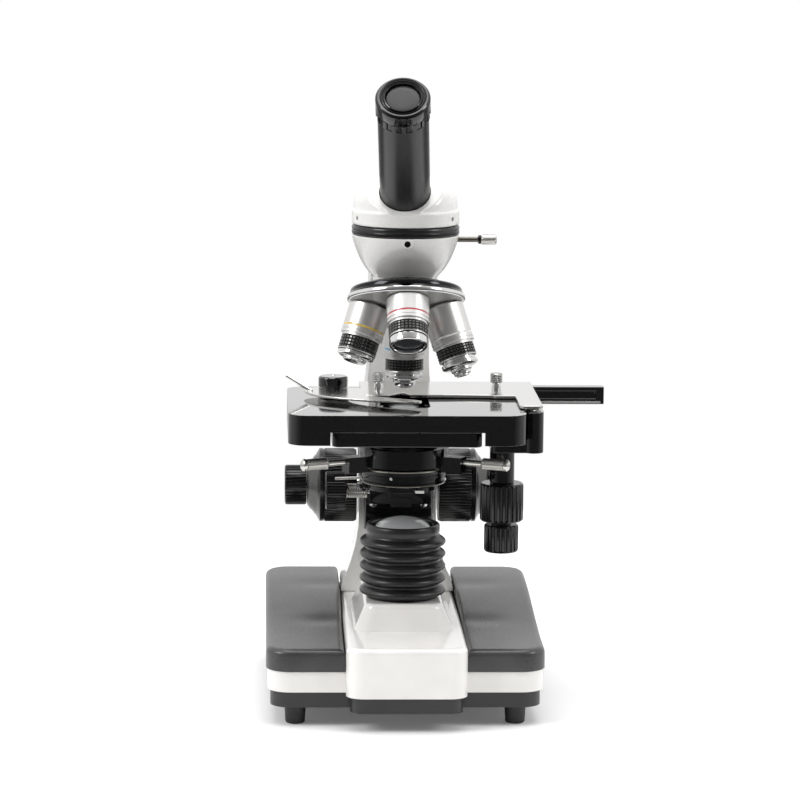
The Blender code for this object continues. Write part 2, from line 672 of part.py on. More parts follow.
# ---------------------------------------------------------------- arm
def build_arm():
    back = ARM_FRONT + ARM_DEPTH
    foot = SPINE_TOP + CLEAR
    front = smooth_line([(ARM_FRONT, 175), (ARM_FRONT - 2, 205), (ARM_FRONT - 14, 230),
                         (ARM_FRONT - 38, 245), (8, BOWL_BOTTOM + 6)], 2)
    rear = smooth_line([(8, BOWL_TOP), (46, BOWL_TOP - 1.5), (back - 32, 258), (back - 12, 228),
                        (back - 3, 185), (back, 130), (back + 1, 80), (back + 4, foot)], 2)
    body = place(slab([(ARM_FRONT, foot)] + front + rear, -SPINE_HALF, SPINE_HALF), root, turn=SIDEWAYS)
    half = ARM_WIDTH / 2
    upper = ARM_UPPER_WIDTH / 2
    flank = smooth_line([(SPINE_HALF - 0.5, foot - 2), (SPINE_HALF - 1, foot + 4), (half + 5, 66),
                         (half + 1.2, 82),
                         (half, 100), (half, 150), (upper + 1.2, 172), (upper, 186)], 2)
    mask_outline = flank + [(upper, 280)] + [(-upper, 280)] + [(-x, z) for x, z in reversed(flank)]
    mask = slab(mask_outline, -back - 12.0, 10.0)
    mask.rotation_euler = UPRIGHT
    combine(body, mask, "INTERSECT")
    bevel(body, 4.0, 1)
    wall = smooth_line([(BOWL_RADIUS, BOWL_TOP - 0.5), (BOWL_RADIUS - 1.6, BOWL_TOP - 6.0),
                        (BOWL_RADIUS - 4.4, BOWL_TOP - 13.0), (BOWL_RADIUS - 7.9, BOWL_TOP - 19.0),
                        (BOWL_BASE_RADIUS, BOWL_BOTTOM + 1.8)], 2)
    bowl = turned([(0, BOWL_TOP), (BOWL_RADIUS - 0.5, BOWL_TOP)] + wall
                  + [(BOWL_BASE_RADIUS, BOWL_BOTTOM), (0, BOWL_BOTTOM)], ROUND_LARGE)
    join(body, bowl)
    tongue = TONGUE_WIDTH / 2 + CLEAR
    rack_face = FOCUS_Y - PINION_RADIUS - CLEAR
    groove = block((-tongue, ARM_FRONT - 5.0, CARRIAGE_BOTTOM + 8.0 - COARSE_DOWN - 4.0),
                   (tongue, rack_face + CLEAR, CARRIAGE_TOP + COARSE_UP + 0.5))
    room = PINION_WIDTH / 2 + 1.0
    gear_room = block((-room, rack_face - 1.0, FOCUS_Z - PINION_RADIUS - 1.5),
                      (room, FOCUS_Y + PINION_RADIUS + 1.5, FOCUS_Z + PINION_RADIUS + 1.5))
    bore = place(rod(SHAFT_RADIUS + CLEAR, -ARM_WIDTH, ARM_WIDTH), root, (0, FOCUS_Y, FOCUS_Z), ALONG_X)
    light = rod(LIGHT_BORE, BOWL_BOTTOM - 5.0, BOWL_TOP + 5.0)
    screw_hole = place(rod(SET_SCREW_RADIUS, BOWL_RADIUS - 5.0, BOWL_RADIUS + 2.0, ROUND_SMALL), root,
                       (0, 0, LOCK_SCREW_Z), (math.pi / 2, 0.0, 0.0))
    lock_hole = place(rod(LOCK_SCREW_SHAFT + CLEAR, BOWL_RADIUS - 9.0, BOWL_RADIUS + 2.0,
                          ROUND_SMALL), root,
                      (0, 0, LOCK_SCREW_Z), ALONG_X)
    cut(body, groove, gear_room, bore, light, screw_hole, lock_hole)
    finish(body, "arm", WHITE)

    ring = pipe(RING_RADIUS, LIGHT_BORE + 3.0, BOWL_TOP + CLEAR, RING_TOP, ROUND_LARGE)
    finish(place(ring, root), "head_ring", BLACK)

    axis = make_axis("head_lock_axis", (0, 0, LOCK_SCREW_Z), root)
    grip = LOCK_SCREW_LENGTH - 10.5
    screw = turned([(0, LOCK_SCREW_LENGTH), (LOCK_SCREW_GRIP - 0.5, LOCK_SCREW_LENGTH),
                    (LOCK_SCREW_GRIP, LOCK_SCREW_LENGTH - 0.5), (LOCK_SCREW_GRIP, grip),
                    (LOCK_SCREW_GRIP - 0.4, grip), (LOCK_SCREW_GRIP - 0.4, grip - 1.6),
                    (LOCK_SCREW_SHAFT, grip - 1.6), (LOCK_SCREW_SHAFT, BOWL_RADIUS - 8.0),
                    (0, BOWL_RADIUS - 8.0)], ROUND_SMALL)
    finish(place(screw, axis, turn=ALONG_X), "head_lock_screw", STEEL)


# ---------------------------------------------------------------- head and eyepiece
def build_head():
    turn = make_axis("head_axis", (0, 0, HEAD_BOTTOM), root, (0.0, 0.0, HEAD_YAW))
    band = HEAD_BAND
    rise = HEAD_HEIGHT - band - 1.2
    # the power squares the arc up, so the shoulders stay full
    dome = [((HEAD_RADIUS - 1.0) * round(math.cos(math.radians(a)), 6) ** DOME_POWER,
             band + 1.2 + rise * math.sin(math.radians(a)) ** DOME_POWER)
            for a in (90, 80, 65, 50, 35, 18, 0)]
    housing = place(turned(dome + [(HEAD_RADIUS, band), (HEAD_RADIUS, 0), (0, 0)], ROUND_LARGE), turn)
    pivot = TUBE_PIVOT_Z - HEAD_BOTTOM
    tilt = (TUBE_TILT, 0.0, 0.0)
    neck = turned([(0, NECK_END), (NECK_RADIUS - 1.0, NECK_END), (NECK_RADIUS, NECK_END - 1.0),
                   (NECK_RADIUS + 1.0, NECK_START), (0, NECK_START)])
    join(housing, place(neck, turn, (0, 0, pivot), tilt))
    reach = HEAD_RADIUS * 2
    ahead = block((-reach, -reach, NECK_END), (reach, reach, NECK_END + reach))
    cut(housing, place(ahead, turn, (0, 0, pivot), tilt))
    inner = HEAD_RADIUS - HEAD_WALL
    room = rod(inner, -1.0, PRISM_RECESS, ROUND_LARGE)
    half = PRISM_SIZE / 2 + CLEAR
    pocket = block((-half, -half, -0.5), (half, half, PRISM_SIZE + CLEAR))
    bore = rod(EYE_TUBE_RADIUS + CLEAR, EYE_TUBE_START - 6.0, NECK_END + 5.0, ROUND_LARGE)
    for angle in (-HEAD_SCREW_ANGLE, HEAD_SCREW_ANGLE):
        hole = rod(1.1, HEAD_RADIUS - 2.5, HEAD_RADIUS + 2.0, ROUND_SMALL)
        yaw = math.radians(angle - 90)
        cut(housing, place(hole, turn, (0, 0, band * 0.5), (0.0, math.pi / 2, yaw)))
    cut(housing, room, pocket, place(bore, turn, (0, 0, pivot), tilt))
    finish(housing, "head_housing", WHITE)

    tube_axis = make_axis("eyepiece_axis", (0, 0, pivot), turn, tilt)
    tube = pipe(EYE_TUBE_RADIUS, EYEPIECE_RADIUS + CLEAR, EYE_TUBE_START, EYE_TUBE_END, ROUND_LARGE)
    finish(place(tube, tube_axis), "eyepiece_tube", BLACK)

    inner = EYEPIECE_RADIUS - EYEPIECE_WALL
    low = EYE_TUBE_END + CLEAR
    top = low + EYEPIECE_HEAD_LENGTH
    radius = EYEPIECE_HEAD_RADIUS
    lens_seat = EYE_LENS_RADIUS + CLEAR
    body = turned([(lens_seat, top - 0.6), (lens_seat + 1.2, top), (radius - 1.2, top),
                   (radius, top - 1.2),
                   (radius, low), (EYEPIECE_RADIUS, low), (EYEPIECE_RADIUS, low - EYEPIECE_DEPTH),
                   (inner, low - EYEPIECE_DEPTH), (inner, low + 4.0), (lens_seat - 1.4, low + 4.0),
                   (lens_seat - 1.4, top - 6.0), (lens_seat, top - 6.0)], ROUND_LARGE, ring=True)
    finish(place(body, tube_axis), "eyepiece_body", BLACK)
    lens = turned([(0, top - 1.4), (EYE_LENS_RADIUS * 0.6, top - 1.7), (EYE_LENS_RADIUS, top - 2.6),
                   (EYE_LENS_RADIUS, top - 6.0 + CLEAR), (0, top - 6.0 + CLEAR)])
    finish(place(lens, tube_axis), "eye_lens", GLASS)
    half = PRISM_SIZE / 2
    outline = [(-half, CLEAR), (half, CLEAR), (half, 6.0), (0, PRISM_SIZE * 0.95), (-half, 6.0)]
    prism = slab(outline, -half, half, 0.5)
    finish(place(prism, turn, turn=SIDEWAYS), "prism", GLASS)


# ---------------------------------------------------------------- turret and objectives
def build_nosepiece():
    tilted = make_axis("turret_axis", (0, 0, APEX_Z), root, (-TURRET_TILT, 0.0, 0.0))
    seat = -TURRET_TOP + CLEAR
    slope = math.tan(TURRET_TILT)
    tip = -CIRCLE_RADIUS / slope + (8.0 - CIRCLE_RADIUS) * slope
    mount = place(rod(BOWL_BASE_RADIUS - 0.4, BOWL_BOTTOM - 16.0, BOWL_BOTTOM - CLEAR), root)
    below = place(block((-50, -50, -TURRET_TOP - 40.0), (50, 50, seat)), root,
                  (0, 0, APEX_Z), (-TURRET_TILT, 0.0, 0.0))
    cut(mount, below)
    pin = turned([(0, seat + 1.5), (23.0, seat + 1.5), (23.0, seat), (PIVOT_RADIUS, seat),
                  (PIVOT_RADIUS, tip - CLEAR), (PIVOT_RADIUS * 2, tip - CLEAR),
                  (PIVOT_RADIUS * 2, tip - 2.3), (0, tip - 2.3)])
    join(mount, place(pin, root, (0, 0, APEX_Z), (-TURRET_TILT, 0.0, 0.0)))
    cut(mount, rod(LIGHT_BORE - 1.0, BOWL_BOTTOM - 20.0, BOWL_BOTTOM + 5.0))
    finish(mount, "nosepiece_mount", BLACK)

    edge = -CIRCLE_RADIUS / slope + (TURRET_RADIUS - 1.2 - CIRCLE_RADIUS) * slope
    hole = PIVOT_RADIUS + CLEAR
    shell = turned([(hole, -TURRET_TOP), (TURRET_RADIUS - 1.5, -TURRET_TOP),
                    (TURRET_RADIUS, -TURRET_TOP - 1.0), (TURRET_RADIUS, edge + 1.0),
                    (TURRET_RADIUS - 1.2, edge), (8.0, tip), (hole, tip)], ROUND_LARGE, ring=True)
    place(shell, tilted)
    shoulder = CIRCLE_RADIUS / math.sin(TURRET_TILT)
    for k in range(4):
        bore = rod(THREAD_RADIUS + CLEAR, -shoulder - 8.0, -shoulder + 22.0)
        cut(shell, place(bore, tilted, turn=(TURRET_TILT, 0.0, k * math.pi / 2)))
    finish(shell, "turret_shell", CHROME)
    return tilted


OBJECTIVES = (
    # name, quarter turns from the working place, sleeve, grip, nose and tip lengths
    ("40x", 0, 24.0, 8.4, 5.0, 4.9),
    ("10x", 1, 16.5, 9.0, 4.7, 2.8),
    ("4x", 2, 15.0, 8.5, 5.0, 0.0),
    ("100x", 3, 22.5, 8.4, 5.0, 4.9),
)
TIP_RADII = {"40x": (6.8, 5.0), "10x": (7.6, 7.0), "100x": (6.0, 3.6)}
NOSE_TRAVEL = 1.5


def build_objective(tilted, name, quarter, sleeve, grip, nose, tip):
    shoulder = -CIRCLE_RADIUS / math.sin(TURRET_TILT) - CLEAR
    axis = make_axis(f"objective_{name}_axis", (0, 0, 0), tilted,
                     (TURRET_TILT, 0.0, quarter * math.pi / 2))
    waist = shoulder - sleeve
    end = waist - grip
    bore = NOSE_RADIUS + CLEAR
    depth = 6.0
    core = THREAD_RADIUS - 2.4
    barrel = turned([(core, shoulder + THREAD_LENGTH), (THREAD_RADIUS, shoulder + THREAD_LENGTH),
                     (THREAD_RADIUS, shoulder), (SLEEVE_RADIUS - 0.5, shoulder),
                     (SLEEVE_RADIUS, shoulder - 0.5), (SLEEVE_RADIUS, waist + 0.4),
                     (SLEEVE_RADIUS - 0.4, waist), (GRIP_RADIUS, waist), (GRIP_RADIUS, end),
                     (bore, end), (bore, end + depth), (core, end + depth)], ring=True)
    finish(place(barrel, axis), f"objective_{name}_barrel", SATIN)
    top = end + depth - CLEAR - NOSE_TRAVEL
    face = end - nose
    if tip:
        wide, narrow = TIP_RADII[name]
        point = face - tip
        profile = [(3.0, top), (NOSE_RADIUS, top), (NOSE_RADIUS, face + 0.6), (NOSE_RADIUS - 0.6, face),
                   (wide, face), (narrow, point), (2.2, point), (2.2, point + 1.2), (1.2, point + 1.6),
                   (1.2, top - 3.0)]
        finish(place(turned(profile, ring=True), axis), f"objective_{name}_nose", CHROME)
        return
    lens = NOSE_RADIUS - 1.6
    profile = [(lens - 1.4, top), (NOSE_RADIUS, top), (NOSE_RADIUS, face + 0.5),
               (NOSE_RADIUS - 0.5, face),
               (lens + 0.4, face), (lens, face + 0.8), (lens, face + 5.0), (lens - 1.4, face + 5.0)]
    finish(place(turned(profile, ring=True), axis), f"objective_{name}_nose", CHROME)
    glass = lens - CLEAR
    profile = [(0, face + 5.0 - CLEAR), (glass, face + 5.0 - CLEAR), (glass, face + 3.2),
               (glass * 0.6, face + 2.3),
               (0, face + 2.0)]
    finish(place(turned(profile), axis), f"objective_{name}_lens", GLASS)


# ---------------------------------------------------------------- focus drive
def build_focus():
    """Returns the empty of the coarse slide."""
    coarse = make_axis("coarse_slide_axis", (0, ARM_FRONT, FOCUS_Z), root)
    low, high = (CARRIAGE_BOTTOM - FOCUS_Z, CARRIAGE_TOP - FOCUS_Z)
    half = CARRIAGE_WIDTH / 2
    rack_face = FOCUS_Y - PINION_RADIUS - CLEAR - ARM_FRONT
    carriage = place(block((-half, CARRIAGE_FRONT - ARM_FRONT, low), (half, -CLEAR, high), 1.0), coarse)
    join(carriage,
         block((-TONGUE_WIDTH / 2, -2.0, low + 8.0), (TONGUE_WIDTH / 2, rack_face, high - 1.0)))
    for x in (-15.2, 15.2):
        recess = rod(2.2, -1.2, 2.0, ROUND_SMALL)
        cut(carriage, place(recess, coarse, (x, CARRIAGE_FRONT - ARM_FRONT, 103.4 - FOCUS_Z),
                            (math.pi / 2, 0.0, 0.0)))
    finish(carriage, "focus_carriage", BLACK)

    drive = make_axis("coarse_knob_axis", (0, FOCUS_Y, FOCUS_Z), root)
    end = COARSE_INNER_X - CLEAR
    bore = FINE_SHAFT_RADIUS + CLEAR
    gear = PINION_WIDTH / 2
    shaft = turned([(bore, end), (SHAFT_RADIUS, end), (SHAFT_RADIUS, gear), (PINION_RADIUS, gear),
                    (PINION_RADIUS, -gear), (SHAFT_RADIUS, -gear), (SHAFT_RADIUS, -end), (bore, -end)],
                   ROUND_MEDIUM, ring=True)
    finish(place(shaft, drive, turn=ALONG_X), "coarse_shaft", STEEL)
    rim = COARSE_INNER_X + COARSE_WIDTH
    top = rim + CONE_WIDTH
    profile = [(bore, top), (FINE_RADIUS - 0.3, top), (COARSE_RADIUS - 0.8, rim),
               (COARSE_RADIUS, rim - 0.6),
               (COARSE_RADIUS, COARSE_INNER_X + 0.8), (COARSE_RADIUS - 0.8, COARSE_INNER_X),
               (bore, COARSE_INNER_X)]
    for side, name in ((1, "right"), (-1, "left")):
        knob = place(turned(profile, ROUND_LARGE, ring=True), drive,
                     turn=(0.0, side * math.pi / 2, 0.0))
        finish(knob, f"coarse_knob_{name}", BLACK)

    fine = make_axis("fine_knob_axis", (0, FOCUS_Y, FOCUS_Z), root)
    start = top + CLEAR
    end = start + FINE_WIDTH
    rounded = [(FINE_RADIUS - 0.7, end), (FINE_RADIUS, end - 0.7), (FINE_RADIUS, start)]
    left = turned([(0, end)] + rounded + [(FINE_SHAFT_RADIUS, start), (FINE_SHAFT_RADIUS, -top),
                                          (0, -top)])
    finish(place(left, fine, turn=(0.0, -math.pi / 2, 0.0)), "fine_knob_left", BLACK)
    right = turned([(0, end)] + rounded + [(0, start)])
    finish(place(right, fine, turn=ALONG_X), "fine_knob_right", BLACK)
    return coarse


# ---------------------------------------------------------------- stage
def build_lower_stage(coarse):
    """Returns the empty of the fine slide, whose origin is the optical frame's."""
    fine = make_axis("fine_slide_axis", (0, -ARM_FRONT, -FOCUS_Z), coarse)
    half = GUIDE_WIDTH / 2
    top = LOWER_BOTTOM - CLEAR
    bracket = place(block((-half, BRACKET_FRONT, BRACKET_BOTTOM),
                          (half, CARRIAGE_FRONT - CLEAR, top), 0.8), fine)
    join(bracket, block((-half, GUIDE_FRONT, GUIDE_BOTTOM), (half, BRACKET_FRONT + 1.0, top)))
    room = LIFT_PINION + 1.2
    slot = block((-5.0, GUIDE_FRONT - 1.0, GUIDE_BOTTOM - 3.0), (5.0, LIFT_Y + room, LIFT_Z + room))
    bore = place(rod(2.3, -half - 1.0, 0.0, ROUND_SMALL), fine, (0, LIFT_Y, LIFT_Z), ALONG_X)
    cut(bracket, slot, bore)
    finish(bracket, "stage_bracket", BLACK)

    wide = LOWER_WIDTH / 2
    plate = place(slab(rounded_box(-wide, wide, LOWER_FRONT, LOWER_REAR, 4.0, 3),
                       LOWER_BOTTOM, LOWER_TOP, 0.6), fine)
    for side in (-1, 1):
        x = side * (wide - 6.0)
        join(plate, block((x - 3.0, LOWER_FRONT + 6.0, LOWER_TOP - 1.0),
                          (x + 3.0, STAGE_REAR - 12.0, STAGE_TOP - STAGE_SLAB - CLEAR)))
    cut(plate, rod(LOWER_BORE, LOWER_BOTTOM - 2.0, LOWER_TOP + 2.0))
    finish(plate, "stage_lower_plate", BLACK)
    return fine


def build_upper_stage(fine):
    stage_y = make_axis("stage_y_axis", (0, 0, STAGE_TOP), fine)
    half = STAGE_WIDTH / 2
    slab_low = -STAGE_SLAB
    skirt = SKIRT_BOTTOM - STAGE_TOP
    plate = place(slab(rounded_box(-half, half, STAGE_FRONT, STAGE_REAR, STAGE_CORNER), skirt, 0.0,
                       1.2), stage_y)
    wall = SKIRT_WALL
    pocket = slab(rounded_box(-half + wall, half - wall, STAGE_FRONT + wall, STAGE_REAR + 20.0,
                              STAGE_CORNER - wall), skirt - 1.0, slab_low)
    notch = block((-NOTCH_WIDTH / 2, STAGE_FRONT - 2.0, skirt - 2.0),
                  (NOTCH_WIDTH / 2, STAGE_FRONT + wall + 2.0, NOTCH_TOP - STAGE_TOP))
    hole = slab(rounded_box(-APERTURE_WIDTH / 2, APERTURE_WIDTH / 2, -APERTURE_LENGTH / 2,
                            APERTURE_LENGTH / 2, 6.0, 4), slab_low - 2.0, 2.0)
    cut(plate, pocket, notch, hole)
    finish(plate, "stage_upper_plate", BLACK)

    left = half + CLEAR
    right = left + POST_WIDTH
    low, high = (POST_BOTTOM - STAGE_TOP, POST_TOP - STAGE_TOP)
    post = place(slab(rounded_box(left, right, POST_FRONT, POST_REAR, POST_WIDTH / 2 - 0.1, 6), low,
                      high), stage_y)
    shelf_top = skirt - CLEAR
    shelf = slab(rounded_box(KNOB_X - KNOB_TUBE_RADIUS - 1.5, right - 0.5, POST_FRONT + 2.0,
                             POST_REAR - 1.0, 4.0, 3),
                 low, shelf_top)
    tube_low = KNOB_TUBE_BOTTOM - STAGE_TOP
    sleeve = place(rod(KNOB_TUBE_RADIUS, tube_low, low + 1.0), stage_y, (KNOB_X, KNOB_Y, 0))
    head = place(rod(2.6, high - 0.5, high + 0.8, ROUND_SMALL), stage_y,
                 ((left + right) / 2, POST_FRONT + 6.0, 0))
    bore = place(rod(SLEEVE_SHAFT + CLEAR, tube_low - 1.0, shelf_top - 2.0), stage_y,
                 (KNOB_X, KNOB_Y, 0))
    join(post, shelf, sleeve, head)
    cut(post, bore)
    finish(post, "stage_drive_post", BLACK)

    y_axis = make_axis("y_knob_axis", (KNOB_X, KNOB_Y, tube_low), stage_y)
    reach = low - tube_low
    core = CORE_SHAFT + CLEAR
    edge = 0.8
    radius = Y_KNOB_RADIUS
    bottom = -CLEAR - Y_KNOB_HEIGHT
    y_knob = turned([(core, reach), (SLEEVE_SHAFT, reach), (SLEEVE_SHAFT, -CLEAR),
                     (radius - edge, -CLEAR),
                     (radius, -CLEAR - edge), (radius, bottom + edge), (radius - edge,
                                                                        bottom), (core, bottom)],
                    ring=True)
    finish(place(y_knob, y_axis), "y_knob", BLACK)
    x_axis = make_axis("x_knob_axis", (KNOB_X, KNOB_Y, tube_low + bottom), stage_y)
    radius = X_KNOB_RADIUS
    head = -KNOB_NECK
    tail = head - X_KNOB_HEIGHT
    x_knob = turned([(0, reach - bottom + 1.0), (CORE_SHAFT, reach - bottom + 1.0),
                     (CORE_SHAFT, -CLEAR),
                     (5.5, -CLEAR), (5.5, head), (radius - edge, head), (radius, head - edge),
                     (radius, tail + edge), (radius - edge, tail), (0, tail)])
    finish(place(x_knob, x_axis), "x_knob", BLACK)
    return stage_y


def build_holder(stage_y):
    stage_x = make_axis("stage_x_axis", (0, 0, -STAGE_TOP), stage_y)
    rail_front = STAGE_REAR + CLEAR
    rail_rear = rail_front + RAIL_DEPTH
    rail = place(block((RAIL_LEFT, rail_front, RAIL_BOTTOM),
                       (RAIL_LEFT + RAIL_LENGTH, rail_rear, RAIL_TOP)), stage_x)
    groove = block((RAIL_LEFT + 5.0, rail_front - 1.0, RAIL_BOTTOM + 3.4),
                   (RAIL_LEFT + RAIL_LENGTH - 5.0, rail_front + 2.4, RAIL_TOP - 2.6))
    cut(rail, groove)
    finish(rail, "x_rail", BLACK)

    inner = HOLDER_RIGHT - JAW_WIDTH
    outline = (
        [(-24, rail_rear - 1), (-24, HUB_Y + 8)]
        + arc(HUB_X, HUB_Y, HUB_RADIUS + 0.5, 90, 270, 8)
        + [(-22, 8), (-20, 7), (-18, 5), (-9, 5), (0, 17), (4, 8), (42, 8), (50, 7), (53, 5),
           (inner, 5),
           (inner, JAW_FRONT + 2), (inner + 2, JAW_FRONT), (HOLDER_RIGHT - 2, JAW_FRONT),
           (HOLDER_RIGHT, JAW_FRONT + 2), (HOLDER_RIGHT, rail_rear - 1)]
    )
    holder = place(slab(outline, HOLDER_BOTTOM, HOLDER_TOP), stage_x)
    seat = HOLDER_TOP + FINGER_THICKNESS + 2 * CLEAR
    hub_top = HOLDER_TOP + HUB_HEIGHT
    hub = turned([(0, hub_top), (HUB_RADIUS - 0.8, hub_top), (HUB_RADIUS, hub_top - 0.8),
                  (HUB_RADIUS, seat),
                  (HUB_NECK, seat), (HUB_NECK, HOLDER_TOP - 1.0), (0, HOLDER_TOP - 1.0)])
    join(holder, place(hub, stage_x, (HUB_X, HUB_Y, 0)))
    for x in THUMB_X:
        cut(holder,
            place(rod(1.5, HOLDER_BOTTOM - 1.0, HOLDER_TOP + 1.0, ROUND_SMALL), stage_x, (x, THUMB_Y, 0)))
    finish(holder, "specimen_holder", STEEL)

    for x, side in zip(THUMB_X, ("left", "right")):
        neck = HOLDER_TOP + CLEAR
        screw = turned([(0, THUMB_TOP), (THUMB_RADIUS - 0.4, THUMB_TOP),
                        (THUMB_RADIUS, THUMB_TOP - 0.4),
                        (THUMB_RADIUS, THUMB_TOP - 5.2), (2.2, THUMB_TOP - 5.2), (2.8, neck), (1.2,
                                                                                               neck),
                        (1.2, HOLDER_BOTTOM + 0.1), (0, HOLDER_BOTTOM + 0.1)], ROUND_SMALL)
        finish(place(screw, stage_x, (x, THUMB_Y, 0)), f"holder_screw_{side}", CHROME)

    pivot = make_axis("finger_axis", (HUB_X, HUB_Y, HOLDER_TOP + CLEAR), stage_x)
    outer = smooth_line([(-9, 0), (-17, -10), (-10, -31), (10, -46), (32, -55), (44, -58)], 3)
    tip = arc(45.5, -54.5, 3.5, -90, 60, 4)
    inner_line = smooth_line([(44, -49), (30, -41), (16, -29), (9, -15), (9, 0)], 3)
    finger = place(slab(outer + tip + inner_line + arc(0, 0, 9, 10, 170, 6), 0.0, FINGER_THICKNESS),
                   pivot)
    tail = place(rod(1.1, 0.0, 18.0, ROUND_SMALL), pivot, (-12.5, -16.0, 1.15),
                 (0.0, math.radians(-64), math.radians(-25)))
    join(finger, tail)
    cut(finger, rod(HUB_NECK + CLEAR, -2.0, 4.0))
    finish(finger, "slide_finger", STEEL)


# ---------------------------------------------------------------- condenser
def ear_yaw(side):
    """Direction of a centring screw: forward and out to the left (-1) or the right (1)."""
    return -EAR_ANGLE if side > 0 else math.pi + EAR_ANGLE


def build_condenser(fine):
    lift = make_axis("condenser_axis", (0, 0, SCREW_Z), fine)
    base = SCREW_Z
    groove = LEVER_THICKNESS / 2 + CLEAR
    slot = LEVER_Z - base
    top = CONDENSER_TOP - base
    ring_low = IRIS_BOTTOM - base
    lens = CONDENSER_BORE - CLEAR
    body = turned([(CONDENSER_BORE, top), (CONDENSER_NECK - 1.0, top), (CONDENSER_NECK, top - 1.0),
                   (CONDENSER_NECK, BARREL_TOP - base + 1.0), (BARREL_RADIUS - 1.5, BARREL_TOP - base),
                   (BARREL_RADIUS, BARREL_TOP - base - 1.5), (BARREL_RADIUS, IRIS_TOP - base),
                   (IRIS_RADIUS - 0.8, IRIS_TOP - base), (IRIS_RADIUS, IRIS_TOP - base - 0.8),
                   (IRIS_RADIUS, slot + groove), (IRIS_RADIUS - 3.4, slot + groove),
                   (IRIS_RADIUS - 3.4, slot - groove), (IRIS_RADIUS, slot - groove),
                   (IRIS_RADIUS, ring_low + 0.6), (IRIS_RADIUS - 0.6, ring_low),
                   (FILTER_BORE, ring_low), (CONDENSER_BORE - 2.0, ring_low + 4.0),
                   (CONDENSER_BORE - 2.0, top - 5.0), (CONDENSER_BORE,
                                                       top - 5.0)], ROUND_LARGE, ring=True)
    place(body, lift)
    pin_low = FILTER_TOP - FILTER_THICKNESS - base - CLEAR
    pin = turned([(0, ring_low + 1.0), (1.3, ring_low + 1.0), (1.3, pin_low), (2.4, pin_low),
                  (2.4, pin_low - 0.8), (0, pin_low - 0.8)], ROUND_SMALL)
    join(body, place(pin, lift, (-FILTER_PIVOT, 0, 0)))
    finish(body, "condenser_body", BLACK)

    glass = turned([(0, top + 0.2), (lens * 0.7, top), (lens, top - 1.0), (lens, top - 5.0 + CLEAR),
                    (0, top - 5.0 + CLEAR)])
    finish(place(glass, lift), "condenser_lens", GLASS)

    iris = make_axis("iris_axis", (0, 0, slot), lift)
    half = LEVER_THICKNESS / 2
    lever = place(pipe(IRIS_RADIUS - 0.6, IRIS_RADIUS - 3.1, -half, half, ROUND_LARGE), iris)
    stick = place(block((-LEVER_REACH, -1.2, -0.6), (-IRIS_RADIUS + 1.8, 1.2, 0.6)), iris,
                  turn=(0.0, 0.0, math.radians(12)))
    join(lever, stick)
    finish(lever, "iris_lever", STEEL)

    swing = make_axis("filter_axis", (-FILTER_PIVOT, 0, FILTER_TOP - base), lift)
    ring = place(rod(FILTER_RADIUS, -FILTER_THICKNESS, 0.0), swing, (FILTER_PIVOT, 0, 0))
    ear = rod(4.0, -FILTER_THICKNESS, 0.0, ROUND_SMALL)
    tab = block((FILTER_PIVOT + 6.0, -FILTER_RADIUS - 1.6, -FILTER_THICKNESS + 0.4),
                (FILTER_PIVOT + 11.0, -FILTER_RADIUS + 4.0, -0.6))
    join(ring, ear, tab)
    cut(ring, place(rod(FILTER_BORE, -2.0, 2.0), swing, (FILTER_PIVOT, 0, 0)),
        place(rod(FILTER_BORE - 1.5, -9.0, 2.0), swing, (FILTER_PIVOT, 0, 0)),
        rod(1.3 + CLEAR, -9.0, 2.0, ROUND_SMALL))
    finish(ring, "filter_ring", BLACK)

    low, high = (CARRIER_BOTTOM - base, CARRIER_TOP - base)
    carrier = place(rod(CARRIER_RING, low, high, ROUND_LARGE), lift)
    back = GUIDE_FRONT - CLEAR
    join(carrier,
         block((-13.0, CARRIER_RING - 6.0, low + 0.5), (13.0, back, high - 0.5)),
         block((-6.0, IRIS_RADIUS + 5.0, GUIDE_BOTTOM - base), (6.0, back - 0.4, low + 1.5)))
    for side in (-1, 1):
        yaw = ear_yaw(side)
        ear = place(block((IRIS_RADIUS + 0.5, -4.5, low - 3.0), (EAR_REACH, 4.5, 4.6)), lift,
                    turn=(0.0, 0.0, yaw))
        join(carrier, ear)
        hole = place(rod(1.8, CARRIER_RING - 7.0, EAR_REACH + 2.0, ROUND_SMALL), lift, (0, 0, 1.7),
                     (0.0, math.pi / 2, yaw))
        cut(carrier, hole)
    cut(carrier, rod(BARREL_RADIUS + CLEAR, low - 2.0, high + 2.0, ROUND_LARGE))
    finish(carrier, "condenser_carrier", BLACK)

    for side, name in ((-1, "left"), (1, "right")):
        axis = make_axis(f"centring_axis_{name}", (0, 0, 1.7), lift, (0.0, math.pi / 2, ear_yaw(side)))
        neck = SCREW_REACH - 16.0
        screw = turned([(0, SCREW_REACH), (2.6, SCREW_REACH), (3.6, SCREW_REACH - 1.0),
                        (3.6, SCREW_REACH - 2.0),
                        (2.6, SCREW_REACH - 2.4), (3.3, SCREW_REACH - 2.8), (3.3, neck), (1.8,
                                                                                          neck - 1.0),
                        (1.8, EAR_REACH + CLEAR), (1.4, EAR_REACH + CLEAR), (1.4,
                                                                             BARREL_RADIUS + CLEAR),
                        (0, BARREL_RADIUS + CLEAR)], ROUND_SMALL)
        finish(place(screw, axis), f"centring_screw_{name}", STEEL)


